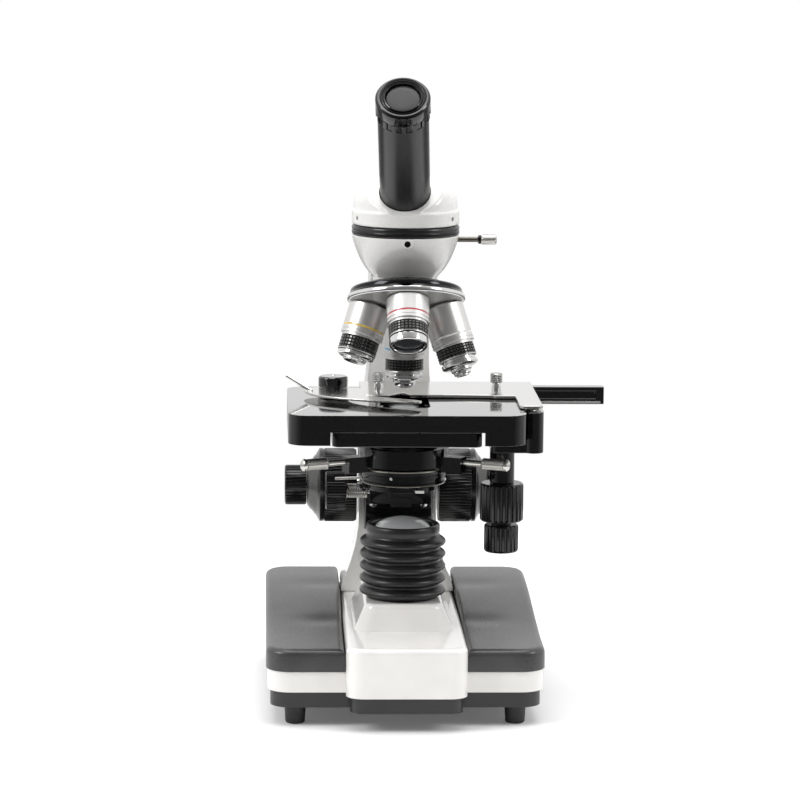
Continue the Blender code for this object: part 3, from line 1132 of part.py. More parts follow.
def build_condenser_knob(fine):
    axis = make_axis("condenser_knob_axis", (0, LIFT_Y, LIFT_Z), fine)
    outer = -LIFT_KNOB_X
    inner = outer - LIFT_KNOB_WIDTH
    block_edge = GUIDE_WIDTH / 2 + CLEAR
    profile = [(0, outer), (LIFT_KNOB_RADIUS - 0.7, outer), (LIFT_KNOB_RADIUS, outer - 0.7),
               (LIFT_KNOB_RADIUS, inner + 0.7), (LIFT_KNOB_RADIUS - 0.7, inner), (2.7, inner),
               (2.7, block_edge), (2.0, block_edge), (2.0, 4.6), (LIFT_PINION, 4.6), (LIFT_PINION,
                                                                                      -4.6), (0, -4.6)]
    knob = turned(profile)
    finish(place(knob, axis, turn=(0.0, -math.pi / 2, 0.0)), "condenser_knob", BLACK)


def centre_on_origin():
    """Move the microscope so that the middle of its box stands over the origin."""
    bpy.context.view_layer.update()
    graph = bpy.context.evaluated_depsgraph_get()
    corners = []
    for obj in PARTS.objects:
        if obj.type == "MESH":
            shape = obj.evaluated_get(graph)
            mesh = shape.to_mesh()
            corners += [obj.matrix_world @ vertex.co for vertex in mesh.vertices]
            shape.to_mesh_clear()
    for axis in (0, 1):
        values = [corner[axis] for corner in corners]
        root.location[axis] = -(min(values) + max(values)) / 2


build_base()
build_pad(-1, "pad_left")
build_pad(1, "pad_right")
build_cover()
build_feet()
build_lamp()
build_collector()
build_bellows()
build_back_panel()
build_arm()
build_head()
turret = build_nosepiece()
for objective in OBJECTIVES:
    build_objective(turret, *objective)
coarse_slide = build_focus()
fine_slide = build_lower_stage(coarse_slide)
stage_slide = build_upper_stage(fine_slide)
build_holder(stage_slide)
build_condenser(fine_slide)
build_condenser_knob(fine_slide)
centre_on_origin()
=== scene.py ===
"""Finished surfaces for an upright student microscope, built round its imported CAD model.

Shapes are drawn in millimetres with the optical axis at X = Y = 0 and the table at Z = 0.
PLACE turns them into metres and stands them on the axis that the CAD model has.  A profile
is a list of (radius, height) points, which lathe() spins into a turned part.
"""
import json
import math

import bmesh
import bpy
from mathutils import Euler, Matrix, Vector


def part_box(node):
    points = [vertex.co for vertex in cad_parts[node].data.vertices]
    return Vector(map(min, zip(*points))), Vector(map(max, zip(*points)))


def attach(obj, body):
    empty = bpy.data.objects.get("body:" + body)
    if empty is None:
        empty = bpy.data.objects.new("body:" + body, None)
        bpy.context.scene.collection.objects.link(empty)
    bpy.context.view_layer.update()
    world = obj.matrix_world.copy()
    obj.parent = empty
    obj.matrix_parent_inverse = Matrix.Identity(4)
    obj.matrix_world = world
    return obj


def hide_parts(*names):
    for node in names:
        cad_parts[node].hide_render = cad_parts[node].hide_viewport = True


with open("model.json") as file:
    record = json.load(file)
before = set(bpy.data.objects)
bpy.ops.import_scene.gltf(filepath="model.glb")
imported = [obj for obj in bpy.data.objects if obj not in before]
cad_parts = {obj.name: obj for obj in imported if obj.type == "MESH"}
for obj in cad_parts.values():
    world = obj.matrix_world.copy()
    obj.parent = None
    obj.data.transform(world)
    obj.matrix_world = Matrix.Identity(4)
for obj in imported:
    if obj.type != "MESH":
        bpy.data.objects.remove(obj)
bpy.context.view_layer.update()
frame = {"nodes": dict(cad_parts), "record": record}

RECORD = frame["record"]
BODY_OF = {node: body for body, nodes in RECORD["behaviour"]["bodies"].items() for node in nodes}

ring_low, ring_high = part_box("head_ring")
AXIS = (ring_low + ring_high) / 2
MM = 0.001
PLACE = Matrix.Translation((AXIS.x, AXIS.y, 0.0)) @ Matrix.Scale(MM, 4)
STILL = Matrix.Identity(4)

# The head stands a little turned on its ring, as the eyepiece's slide shows.
slide = next(joint for joint in RECORD["behaviour"]["joints"] if joint["name"] == "eyepiece_slide")
HEAD_TURN = math.degrees(math.atan2(slide["axis"][0], -slide["axis"][1]))
screw_low, screw_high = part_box("head_lock_screw")
LOCK_HEIGHT = (screw_low.z + screw_high.z) / 2 / MM

# Sizes in millimetres and degrees that several shapes share.
PAD_FRONT = -66.0
PAD_REAR = 127.0
PAD_INNER = 34.3            # the side of a hand rest that lies along the spine
PAD_CORNER = 14.0
BAND_FLOOR = 19.7
SPINE_HALF = 34.0
SPINE_TOP = 47.8
PLATFORM_TOP = 61.7
PANEL_Y = 126.2             # the base's rear face, which carries the switches
PANEL_HEIGHT = 33.0
DIMMER_X = -24.0
LAMP_FOOT = 62.0            # where the lamp house and its bellows stand on the platform
TUBE_RADIUS = 18.6
TUBE_TOP = 103.2
ARM_TOP = 270.7
BOWL_FOOT = 245.0
DOME_FOOT = 286.0
HEAD_PIVOT = 279.0
HEAD_LEAN = 45.0
NECK_END = 24.5
HEAD_HOLES = (("left", -62.0), ("right", 62.0))
HOLE_HEIGHT = 280.8
TURRET_CENTRE = 294.0
TURRET_TILT = 17.0
SHOULDER = -68.706          # where an objective's sleeve meets the turret, along its own axis
FOCUS = (0, 92, 110.5)
STAGE_HALF = 66.5
STAGE_FLOOR = 158.3
STAGE_TOP = 175.3
STAGE_KNOB_X = 56.6
CENTRING_HEIGHT = 142.1


def turned_to(x=0.0, y=0.0, z=0.0, at=(0.0, 0.0, 0.0)):
    """A matrix that turns by the three angles in degrees and then moves to a point."""
    angles = [math.radians(angle) for angle in (x, y, z)]
    return Matrix.Translation(at) @ Euler(angles).to_matrix().to_4x4()


# ---------------------------------------------------------------- materials
TINT_MM = 22.0              # size of the slow patches of colour
LEAST_ROUGH = 0.02


def linear(code):
    """An sRGB hex colour as the linear values that a shader takes."""
    values = [int(code[k:k + 2], 16) / 255 for k in (1, 3, 5)]
    return (*[v / 12.92 if v <= 0.04045 else ((v + 0.055) / 1.055) ** 2.4 for v in values], 1.0)


def add_node(tree, kind, settings=None, links=None):
    """Adds a node, sets its properties and sockets, and links its inputs to other outputs."""
    node = tree.nodes.new(kind)
    for key, value in (settings or {}).items():
        if isinstance(key, str) and hasattr(node, key):
            setattr(node, key, value)
        else:
            node.inputs[key].default_value = value
    for key, source in (links or {}).items():
        tree.links.new(source, node.inputs[key])
    return node


def new_material(name, colour, roughness, sockets):
    """A Principled material with its plain values on the shader's own sockets."""
    material = bpy.data.materials.new(name)
    material.use_nodes = True
    shader = material.node_tree.nodes["Principled BSDF"]
    shader.inputs["Base Color"].default_value = linear(colour)
    shader.inputs["Roughness"].default_value = roughness
    for key, value in sockets.items():
        shader.inputs[key].default_value = value
    return material


def add_surface(material, grain_mm, depth_mm, rough_swing, tints=None):
    """Gives a surface its grain: relief and roughness that vary over grain_mm, and a slow tint.

    Cast, blasted, plated and moulded grains are really finer than a tenth of a millimetre, too
    fine to show at this size, so every grain_mm is drawn coarser, as coarse as it needs to show.
    """
    tree = material.node_tree
    shader = tree.nodes["Principled BSDF"]
    place = add_node(tree, "ShaderNodeTexCoord")
    fine = add_node(tree, "ShaderNodeTexNoise", {"Scale": 1 / MM / grain_mm, "Detail": 3.0},
                    {"Vector": place.outputs["Object"]})
    rough = shader.inputs["Roughness"].default_value
    spread = add_node(tree, "ShaderNodeMapRange",
                      {"From Min": 0.3, "From Max": 0.7,
                       "To Min": max(rough - rough_swing, LEAST_ROUGH), "To Max": rough + rough_swing},
                      {"Value": fine.outputs["Fac"]})
    tree.links.new(spread.outputs["Result"], shader.inputs["Roughness"])
    if depth_mm:
        relief = add_node(tree, "ShaderNodeBump", {"Strength": 1.0, "Distance": depth_mm * MM},
                          {"Height": fine.outputs["Fac"]})
        tree.links.new(relief.outputs["Normal"], shader.inputs["Normal"])
    if tints:
        slow = add_node(tree, "ShaderNodeTexNoise", {"Scale": 1 / MM / TINT_MM, "Detail": 2.0},
                        {"Vector": place.outputs["Object"]})
        ramp = add_node(tree, "ShaderNodeValToRGB", None, {"Fac": slow.outputs["Fac"]})
        for element, position, tint in zip(ramp.color_ramp.elements, (0.35, 0.65), tints):
            element.position = position
            element.color = linear(tint)
        tree.links.new(ramp.outputs["Color"], shader.inputs["Base Color"])
    return material


def enamel(name, colour, tints, roughness, grain_mm, depth_mm):
    """Gloss stove enamel: a hard clear gloss over the colour, with a faint orange peel."""
    gloss = {"IOR": 1.5, "Coat Weight": 0.8, "Coat Roughness": 0.04}
    return add_surface(new_material(name, colour, roughness, gloss), grain_mm, depth_mm,
                       roughness / 5, tints)


def moulded(name, colour, tints, roughness, grain_mm, depth_mm):
    """A moulded or blackened surface: one soft sheen, broken by the mould's fine texture."""
    return add_surface(new_material(name, colour, roughness, {"IOR": 1.53}), grain_mm, depth_mm,
                       roughness / 6, tints)


def plated(name, colour, roughness, grain_mm, swing):
    """Plated or machined metal: mirror or satin, dulled in patches by handling."""
    return add_surface(new_material(name, colour, roughness, {"Metallic": 1.0}), grain_mm, 0.0, swing)


# Enamel on the smooth base casting: an even, near-white gloss.
WHITE = enamel("white_stove_enamel", "#F1EFEB", ("#EEECE8", "#F4F2EE"), 0.22, 1.4, 0.0015)
# The head and arm castings keep more of the sand's texture below the paint, so they speckle.
WHITE_CAST = enamel("white_enamel_on_rough_casting", "#F1F0ED", ("#EDECE9", "#F4F3F0"), 0.3, 1.2, 0.009)
# Moulded ABS hand rests: mid grey, with a soft sheen that follows their dents.
PAD = moulded("grey_abs_hand_rest", "#3B3B3C", ("#373738", "#404041"), 0.31, 0.9, 0.002)
# Moulded ABS cover: the same plastic, darker and flatter.
COVER = moulded("dark_grey_abs_cover", "#262627", ("#232324", "#2B2B2C"), 0.36, 0.9, 0.002)
# EPDM rubber straight from the mould: satin black, with a dusty lighter bloom in patches.
RUBBER = moulded("black_epdm_rubber", "#161617", ("#121213", "#1E1E1F"), 0.34, 1.2, 0.003)
# Hard rubber of the feet: matt, so they show almost no highlight.
FOOT_RUBBER = moulded("black_foot_rubber", "#1B1B1C", ("#18181A", "#202021"), 0.5, 1.0, 0.004)
# Black gloss paint on the machined stage and slides: a mirror at a low angle.
BLACK_GLOSS = enamel("black_gloss_stage_paint", "#0C0C0D", ("#0A0A0B", "#0F0F10"), 0.07, 6.0, 0.0)
# Black anodised aluminium: satin, with the grain of the bead blasting.
ANODISED = moulded("black_anodised_aluminium", "#101011", ("#0E0E0F", "#141415"), 0.24, 0.7, 0.001)
# Moulded phenolic knobs: black, with small sharp highlights along their ribs.
BLACK_PLASTIC = moulded("black_moulded_knob_plastic", "#0D0D0E", ("#0B0B0C", "#111112"), 0.22, 0.9, 0.001)
# Polished plastic of the eyepiece and the switch: deep black with clean reflections.
GLOSS_PLASTIC = moulded("polished_black_eyepiece_plastic", "#0C0C0D", ("#0A0A0B", "#0F0F10"),
                        0.13, 2.0, 0.0)
# Hard-turned and blackened brass tube: soft bands of light down its length.
TUBE_BLACK = moulded("blackened_eyepiece_tube", "#111112", ("#0F0F10", "#151516"), 0.33, 1.5, 0.0)
# Decorative chrome plate: a clear mirror of the room.
CHROME = plated("bright_chrome_plate", "#DCDCDB", 0.08, 4.0, 0.02)
# Smoked chrome of the turret's upper rim: a black mirror.
DARK_CHROME = plated("smoked_chrome_plate", "#2E2E30", 0.1, 4.0, 0.02)
# Blasted and plated underside of the turret: an even soft grey.
SHELL_CHROME = plated("satin_chrome_turret_underside", "#BDBDBB", 0.32, 1.2, 0.04)
# Satin chrome sleeves of the objectives: one broad highlight down each.
SLEEVE_CHROME = plated("satin_chrome_objective_sleeve", "#DAD9D7", 0.37, 1.3, 0.012)
# Nickel-plated sheet steel of the holder and the finger: pale, with blurred reflections.
STEEL = plated("brushed_nickel_plated_steel", "#DAD9D6", 0.18, 1.5, 0.04)
# Oiled bare steel of a screw's shaft: warmer and darker than plate.
SHAFT_STEEL = plated("oiled_screw_shaft_steel", "#6E6A63", 0.28, 1.0, 0.05)
# Zinc-plated screws and levers: bright, with dull patches.
BRIGHT_STEEL = plated("bright_zinc_plated_screw_steel", "#CFCDC8", 0.2, 1.0, 0.06)
# Anodised aluminium left in its own colour: light grey satin.
SCALE_METAL = plated("natural_anodised_screw_head", "#A9A9A7", 0.28, 1.0, 0.06)
# The coarse knob's stepped cone is turned and then blackened, so only its steps shine.
CONE_METAL = plated("blackened_knob_cone", "#5E5E5D", 0.26, 1.0, 0.05)
# Milled rack: grey, and rough from the cutter.
RACK_METAL = plated("milled_rack_steel", "#B4B4B2", 0.5, 0.8, 0.06)
# Bright metal painted on the stage's rounded edges and the condenser's chamfers: painted highlight lines
# along them.
PAINTED_EDGE_HIGHLIGHT = plated("painted_edge_highlight_metal", "#D8D2C6", 0.3, 0.8, 0.06)
# The knurl's crests are painted grey, a painted highlight that draws the grid on the black grip.
KNURL_PAINTED_HIGHLIGHT = plated("knurl_crests_painted_highlight", "#656563", 0.3, 0.8, 0.05)
# Fired paint in the turned grooves that mark the powers: clean colour under a gloss.
YELLOW_BAND = enamel("yellow_band_paint", "#D9B84A", ("#D3B041", "#DDBE55"), 0.25, 1.4, 0.0)
RED_BAND = enamel("red_band_paint", "#C5313A", ("#BC2A33", "#CB3C44"), 0.25, 1.4, 0.0)
BLUE_BAND = enamel("light_blue_band_paint", "#6FB3DA", ("#66AAD3", "#78BADF"), 0.25, 1.4, 0.0)
PLAIN_BAND = enamel("white_band_paint", "#E4E4E2", ("#DFDFDD", "#E9E9E7"), 0.25, 1.4, 0.0)
# White paint of the index marks: small, clean and bright on the black.
INDEX_PAINT = enamel("white_index_paint", "#E2E2DF", ("#DDDDDA", "#E6E6E3"), 0.3, 1.4, 0.0)


def clear_glass(name, colour, roughness, transmission):
    """Polished crown glass: how much it lets through decides how much shows behind it."""
    sockets = {"IOR": 1.52, "Transmission Weight": transmission}
    return add_surface(new_material(name, colour, roughness, sockets), 8.0, 0.0, 0.01)


def coated_glass(name, colour, tints):
    """Bloomed lens glass over a black mount: dark, with the weak reflection that blooming leaves."""
    sockets = {"IOR": 1.52, "Specular IOR Level": 0.2}
    return add_surface(new_material(name, colour, 0.2, sockets), 6.0, 0.0, 0.02, tints)


# The collector is frosted below, so it glows a milky grey where the other lenses look clear.
COLLECTOR_GLASS = clear_glass("milky_collector_glass", "#D2D4D5", 0.05, 0.1)
LAMP_GLASS = clear_glass("halogen_lamp_glass", "#EDF0F2", 0.02, 0.95)
PRISM_GLASS = clear_glass("polished_prism_glass", "#E8EEF0", 0.01, 0.95)
EYE_GLASS = coated_glass("eyepiece_lens_glass", "#323233", ("#2E2E2F", "#373738"))
FRONT_GLASS = coated_glass("objective_lens_glass", "#2C2D30", ("#28292C", "#323336"))


# ---------------------------------------------------------------- shapes
MERGE_MM = 0.002            # vertices nearer than this are one
SLIP = 0.01                 # how near to a height counts as at it


def lathe(profile, sides=96, ring=False):
    """Spins a profile about Z into a closed turned shape; ring joins its last point to its first."""
    shape = bmesh.new()
    points = [shape.verts.new((radius, 0.0, z)) for radius, z in profile]
    followers = points[1:] + points[:1] if ring else points[1:]
    edges = [shape.edges.new(pair) for pair in zip(points, followers)]
    bmesh.ops.spin(shape, geom=points + edges, cent=(0, 0, 0), axis=(0, 0, 1),
                   angle=math.tau, steps=sides, use_merge=True)
    bmesh.ops.remove_doubles(shape, verts=shape.verts, dist=MERGE_MM)
    return shape


def rod(radius, low, high, sides=64):
    return lathe([(0, high), (radius, high), (radius, low), (0, low)], sides)


def box(low, high, corner=0.0, segments=8):
    """A box between two corners, with its four upright edges rounded to corner."""
    shape = bmesh.new()
    bmesh.ops.create_cube(shape, size=1.0)
    low, high = Vector(low), Vector(high)
    place = Matrix.Translation((low + high) / 2) @ Matrix.Diagonal((*(high - low), 1.0))
    bmesh.ops.transform(shape, matrix=place, verts=shape.verts)
    if corner:
        round_edges(shape, corner, segments,
                    lambda edge: abs(edge.verts[0].co.z - edge.verts[1].co.z) > SLIP)
    return shape


def round_edges(shape, width, segments, wanted):
    """Rounds the edges that wanted() picks."""
    picked = [edge for edge in shape.edges if wanted(edge)]
    bmesh.ops.bevel(shape, geom=picked, offset=width, segments=segments, profile=0.5,
                    affect="EDGES", material=-1, clamp_overlap=True)


def sharp(edge, angle=35.0):
    return len(edge.link_faces) == 2 and edge.calc_face_angle(0.0) > math.radians(angle)


def slab(outline, low, high):
    """A flat outline in XY drawn up from low to high."""
    shape = bmesh.new()
    face = shape.faces.new([shape.verts.new((x, y, low)) for x, y in outline])
    grown = bmesh.ops.extrude_face_region(shape, geom=[face], use_keep_orig=True)["geom"]
    lid = [item for item in grown if isinstance(item, bmesh.types.BMVert)]
    bmesh.ops.translate(shape, vec=(0, 0, high - low), verts=lid)
    bmesh.ops.recalc_face_normals(shape, faces=shape.faces)
    return shape


def slice_at(shape, point, normal):
    """Adds a row of edges where a plane crosses the shape."""
    bmesh.ops.bisect_plane(shape, geom=[*shape.verts, *shape.edges, *shape.faces],
                           plane_co=point, plane_no=normal)


def arc(x, y, radius, start, end, count):
    """Points along a circular arc, angles in degrees."""
    angles = [math.radians(start + (end - start) * k / count) for k in range(count + 1)]
    return [(x + radius * math.cos(a), y + radius * math.sin(a)) for a in angles]


def smooth_line(points, count=6):
    """A Catmull-Rom curve through the points."""
    ends = [Vector(p) for p in (points[0], *points, points[-1])]
    line = []
    for a, b, c, d in zip(ends, ends[1:], ends[2:], ends[3:]):
        for step in range(count):
            t = step / count
            line.append(tuple(0.5 * (2 * b + (c - a) * t + (2 * a - 5 * b + 4 * c - d) * t ** 2
                                     + (3 * b - a - 3 * c + d) * t ** 3)))
    return line + [tuple(points[-1])]


def moved(shape, matrix):
    bmesh.ops.transform(shape, matrix=matrix, verts=shape.verts)
    return shape


def to_mesh(shape, name):
    mesh = bpy.data.meshes.new(name)
    shape.to_mesh(mesh)
    shape.free()
    return mesh


def add_object(name, mesh):
    obj = bpy.data.objects.new(name, mesh)
    bpy.context.scene.collection.objects.link(obj)
    return obj


def evaluated(obj):
    """The shape of an object with its modifiers applied."""
    graph = bpy.context.evaluated_depsgraph_get()
    result = bmesh.new()
    result.from_mesh(bpy.data.meshes.new_from_object(obj.evaluated_get(graph)))
    return result


def boolean(shape, operation, *tools):
    """Joins, cuts or trims a closed shape with others."""
    target = add_object("work", to_mesh(shape, "work"))
    helpers = []
    for tool in tools:
        helper = add_object("tool", to_mesh(tool, "tool"))
        helpers.append(helper)
        step = target.modifiers.new("step", "BOOLEAN")
        step.solver = "EXACT"
        step.operation = operation
        step.object = helper
    result = evaluated(target)
    for obj in [target, *helpers]:
        bpy.data.objects.remove(obj)
    bmesh.ops.remove_doubles(result, verts=result.verts, dist=MERGE_MM)
    return result


def join(shape, *tools):
    return boolean(shape, "UNION", *tools)


def cut(shape, *tools):
    return boolean(shape, "DIFFERENCE", *tools)


def from_axis(point):
    """Distance of a point from its shape's own Z axis."""
    return math.hypot(point.x, point.y)


def column(vertex, count):
    """Where a vertex stands within one of count equal columns round Z, from 0 to 1."""
    return (math.atan2(vertex.co.y, vertex.co.x) / math.tau * count + 0.001) % 1.0


def sink(vertex, depth):
    radius = from_axis(vertex.co)
    vertex.co.x *= (radius - depth) / radius
    vertex.co.y *= (radius - depth) / radius


def on_wall(vertex, radius):
    return from_axis(vertex.co) > radius - 0.05


def flute(shape, count, depth, low, high, radius):
    """Presses grooves along Z into the wall at radius, for a ribbed grip."""
    rib_share = 0.45
    for vertex in shape.verts:
        if low - SLIP <= vertex.co.z <= high + SLIP and on_wall(vertex, radius):
            if column(vertex, count) > rib_share:
                sink(vertex, depth)
    return shape


def rows(low, high, count):
    """Heights that split a wall into rows for a knurl, four to a row, from the top down."""
    return [high - (high - low) * k / (count * 4) for k in range(1, count * 4)]


def knurl(shape, columns, row_count, depth, low, high, radius, slanted=False):
    """Presses crossed grooves into the wall at radius: a grid, or diamonds when slanted.

    A real knurl has a pitch of about 1 mm.  It is drawn at up to twice that, because it would
    be too fine to show.
    """
    pitch = (high - low) / row_count
    for vertex in shape.verts:
        if low + SLIP < vertex.co.z < high - SLIP and on_wall(vertex, radius):
            across = column(vertex, columns)
            along = ((vertex.co.z - low) / pitch + 0.001) % 1.0
            if slanted:
                groove = (across + along) % 1.0 < 0.2 or (across - along) % 1.0 < 0.2
            else:
                groove = across > 0.7 or along > 0.7
            if groove:
                sink(vertex, depth)
    return shape


def from_node(node):
    """A CAD node's shape with its triangles merged back into faces."""
    shape = bmesh.new()
    shape.from_mesh(frame["nodes"][node].data)
    moved(shape, PLACE.inverted())
    bmesh.ops.remove_doubles(shape, verts=shape.verts, dist=0.005)
    bmesh.ops.dissolve_limit(shape, angle_limit=math.radians(0.6), verts=shape.verts, edges=shape.edges)
    return shape


def piece(name, shape, material, node, stands_for=(), at=STILL, edge=0.0, paint=(), crease=32.0,
          painted_highlight_edges=False):
    """Finishes a shape as a piece that rides with a CAD node's body.

    stands_for are the CAD nodes that it replaces, edge is a small rounding in millimetres, and
    paint is pairs of a second material and a test of a face's middle in the shape's own frame.
    """
    for index, (_, wanted) in enumerate(paint, 1):
        for face in shape.faces:
            if wanted(face.calc_center_median()):
                face.material_index = index
    moved(shape, PLACE @ at)
    bmesh.ops.recalc_face_normals(shape, faces=shape.faces)
    mesh = to_mesh(shape, name)
    for look in [material, *[other for other, _ in paint]] + [PAINTED_EDGE_HIGHLIGHT] * painted_highlight_edges:
        mesh.materials.append(look)
    mesh.shade_smooth()
    mesh.set_sharp_from_angle(angle=math.radians(crease))
    obj = add_object(name, mesh)
    if edge:
        rounding = obj.modifiers.new("rounding", "BEVEL")
        rounding.width = edge * MM
        rounding.segments = 2
        rounding.limit_method = "ANGLE"
        rounding.angle_limit = math.radians(30)
        # The rounding's new faces can take the last material, a painted highlight along the edges.
        rounding.material = len(mesh.materials) - 1 if painted_highlight_edges else -1
        even = obj.modifiers.new("even_normals", "WEIGHTED_NORMAL")
        even.keep_sharp = True
    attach(obj, BODY_OF[node])
    if stands_for:
        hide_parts(*stands_for)
    return obj


def surface(node, shape, material, at=STILL, edge=0.0, paint=(), crease=32.0, painted_highlight_edges=False):
    """The finished surface that stands for one CAD node."""
    return piece(f"{node}_surface", shape, material, node, (node,), at, edge, paint, crease, painted_highlight_edges)


# ---------------------------------------------------------------- base
def build_base():
    """One hollow casting: a low band all round, a raised spine and the lamp's platform."""
    band = box((-77.7, -65.2, BAND_FLOOR), (77.7, PANEL_Y, 31.3), 13.2, 12)
    spine = box((-SPINE_HALF, -82, BAND_FLOOR), (SPINE_HALF, PANEL_Y, SPINE_TOP), 10, 10)
    rear = 60
    platform = box((-23, -27, 44.8), (23, rear, PLATFORM_TOP), 8, 10)
    for vertex in platform.verts:
        if vertex.co.z < SPINE_TOP:
            vertex.co.x *= 30 / 23
            vertex.co.y = rear - (rear - vertex.co.y) * 97 / 87
    round_edges(spine, 3.2, 5, lambda edge: all(v.co.z > SPINE_TOP - 0.1 for v in edge.verts))
    round_edges(platform, 3.0, 5, lambda edge: all(v.co.z > PLATFORM_TOP - 0.1 for v in edge.verts))
    body = join(band, spine, platform)
    rooms = [box((-73.7, -61.2, 18), (73.7, 122.2, 27.3), 9), box((-30, -76, 18), (30, 122.2, 43.8)),
             box((-19, -23, 42), (19, 56, 57.7))]
    lamp_hole = rod(16.6, 56, 63)
    inlet_hole = box((2.7, 121, 23.2), (29.3, 128, 42.8))
    rocker_hole = box((-12.3, 121, 23.7), (0.3, 128, 42.3))
    dimmer_hole = moved(rod(2.8, -5, 1), turned_to(x=-90, at=(DIMMER_X, PANEL_Y, PANEL_HEIGHT)))
    body = cut(body, *rooms, lamp_hole, inlet_hole, rocker_hole, dimmer_hole)
    surface("base_casting", body, WHITE, edge=0.5)


DENTS = ((46, 78), (47, 4))


def pad_top(x, y):
    """Height of a hand rest: it climbs to the back with a shallow wave and two finger dents."""
    front_top, climb, wave, dent_depth = 44, 10.5, 1.6, 0.9
    t = (y - PAD_FRONT) / (PAD_REAR - PAD_FRONT)
    dents = sum(math.exp(-((x - at_x) / 13) ** 2 - ((y - at_y) / 9) ** 2) for at_x, at_y in DENTS)
    return front_top + climb * t - wave * math.sin(math.tau * t) - dent_depth * dents


def build_pads():
    length, width = PAD_REAR - PAD_FRONT, 44.2
    corner_x, floor, blank_top = PAD_INNER + width - PAD_CORNER, 31.6, 60
    for side, name in ((-1, "left"), (1, "right")):
        outline = [(PAD_INNER, PAD_FRONT)]
        outline += arc(corner_x, PAD_FRONT + PAD_CORNER, PAD_CORNER, -90, 0, 12)
        outline += arc(corner_x, PAD_REAR - PAD_CORNER, PAD_CORNER, 0, 90, 12)
        outline += [(PAD_INNER, PAD_REAR)]
        pad = slab(outline, floor, blank_top)
        top = [face for face in pad.faces if face.calc_center_median().z > blank_top - 0.1]
        for inset in (0.25, 0.45, 0.7, 1.0, 1.4):
            bmesh.ops.inset_region(pad, faces=top, thickness=inset, use_even_offset=True)
        for k in range(1, 40):
            slice_at(pad, (0, PAD_FRONT + length * k / 40, 0), (0, 1, 0))
        for k in range(1, 9):
            slice_at(pad, (PAD_INNER + width * k / 9, 0, 0), (1, 0, 0))
        for vertex in pad.verts:
            if vertex.co.z > blank_top - 1:
                x, y = vertex.co.x, vertex.co.y
                vertex.co.z = pad_top(x, y) - edge_drop(outline_gap(vertex.co, outline))
        if side < 0:
            moved(pad, Matrix.Diagonal((-1, 1, 1, 1)))
        surface(f"pad_{name}", pad, PAD, crease=60)


def outline_gap(point, outline):
    """Distance in XY from a point to the nearest side of an outline."""
    flat = Vector((point.x, point.y))
    gaps = []
    for a, b in zip(outline, outline[1:] + outline[:1]):
        start, side = Vector(a), Vector(b) - Vector(a)
        share = min(max((flat - start).dot(side) / side.length_squared, 0.0), 1.0)
        gaps.append((flat - start - side * share).length)
    return min(gaps)


def edge_drop(gap, radius=3.8):
    """How far a rounded edge falls below the top at a distance in from the side."""
    return radius - math.sqrt(radius ** 2 - (radius - min(gap, radius)) ** 2)


def build_cover_and_feet():
    floor, top = 10.7, 19.4
    plate = box((-76, -63.5, floor), (76, 124.5, top), 11.5, 12)
    nose = box((-31.5, -79.5, floor), (31.5, 0, top), 7.5, 10)
    cover = join(plate, nose)
    round_edges(cover, 1.8, 4, lambda edge: all(v.co.z < floor + 0.1 for v in edge.verts) and sharp(edge))
    cover = cut(cover, box((-72, -59.5, 13.5), (72, 120.5, 21), 8), box((-27.5, -73, 13.5), (27.5, 0, 21)))
    surface("bottom_cover", cover, COVER, edge=0.3)
    profile = [(0, 10.4), (6.3, 10.4), (6.3, 9.4), (6.0, 8.8), (5.5, 0.8), (5.3, 0.3), (4.7, 0), (0, 0)]
    for depth, y in (("front", -53), ("rear", 108)):
        for side, x in (("left", -62), ("right", 62)):
            surface(f"foot_{depth}_{side}", lathe(profile, 64), FOOT_RUBBER, turned_to(at=(x, y, 0)),
                    edge=0.2)


def build_lamp_house():
    tube = lathe([(16.6, 102.9), (16.9, TUBE_TOP), (18.3, TUBE_TOP), (TUBE_RADIUS, 102.9),
                  (TUBE_RADIUS, LAMP_FOOT), (14.8, LAMP_FOOT), (14.8, 98.2), (16.6, 98.2)], 96, ring=True)
    surface("collector_tube", tube, ANODISED, edge=0.1)
    rim, rise, foot = 16.3, 7.4, 100.5
    dome = [(rim * math.sin(math.radians(a)), foot + rise * math.cos(math.radians(a)))
            for a in range(0, 91, 6)]
    surface("collector_lens", lathe(dome + [(rim, 98.5), (0, 98.5)], 96), COLLECTOR_GLASS, edge=0.2)
    pitch, folds = 7.1, 5
    fold = [(21.3, 7.0), (22.0, 6.5), (23.7, 5.3), (24.5, 4.5), (24.75, 3.7), (24.6, 2.9), (24.0, 2.2),
            (22.2, 1.3), (21.3, 0.8)]
    outer = [(18.9, 103.6), (19.5, 104.2), (20.5, 104.2), (21.2, 103.5), (21.3, 99.6), (20.9, 98.9)]
    for count in reversed(range(folds)):
        outer += [(radius, LAMP_FOOT + pitch * count + height) for radius, height in fold]
    surface("bellows", lathe(outer + [(20.9, LAMP_FOOT), (18.9, LAMP_FOOT)], 128, ring=True), RUBBER,
            crease=70)


def build_back_panel():
    surface("power_inlet", from_node("power_inlet"), BLACK_PLASTIC, edge=0.4)
    for name, x, z in (("line", 11, 31), ("neutral", 21, 31), ("earth", 16, 36)):
        blade = box((x - 2, 113, z - 1), (x + 2, 123, z + 1))
        piece(f"inlet_pin_{name}", blade, BRIGHT_STEEL, "power_inlet", edge=0.4)
    surface("rocker_switch", from_node("rocker_switch"), GLOSS_PLASTIC, edge=0.4)
    radius = 6.5
    knob = lathe([(0, 7.3), (6.0, 7.3), (radius, 6.8), (radius, 0.8), (6.0, 0.3), (2.5, 0.3),
                  (2.5, -12), (0, -12)], 96)
    flute(knob, 24, 0.5, 0.8, 6.8, radius)
    surface("dimmer_knob", knob, BLACK_PLASTIC, turned_to(x=-90, at=(DIMMER_X, PANEL_Y, PANEL_HEIGHT)))


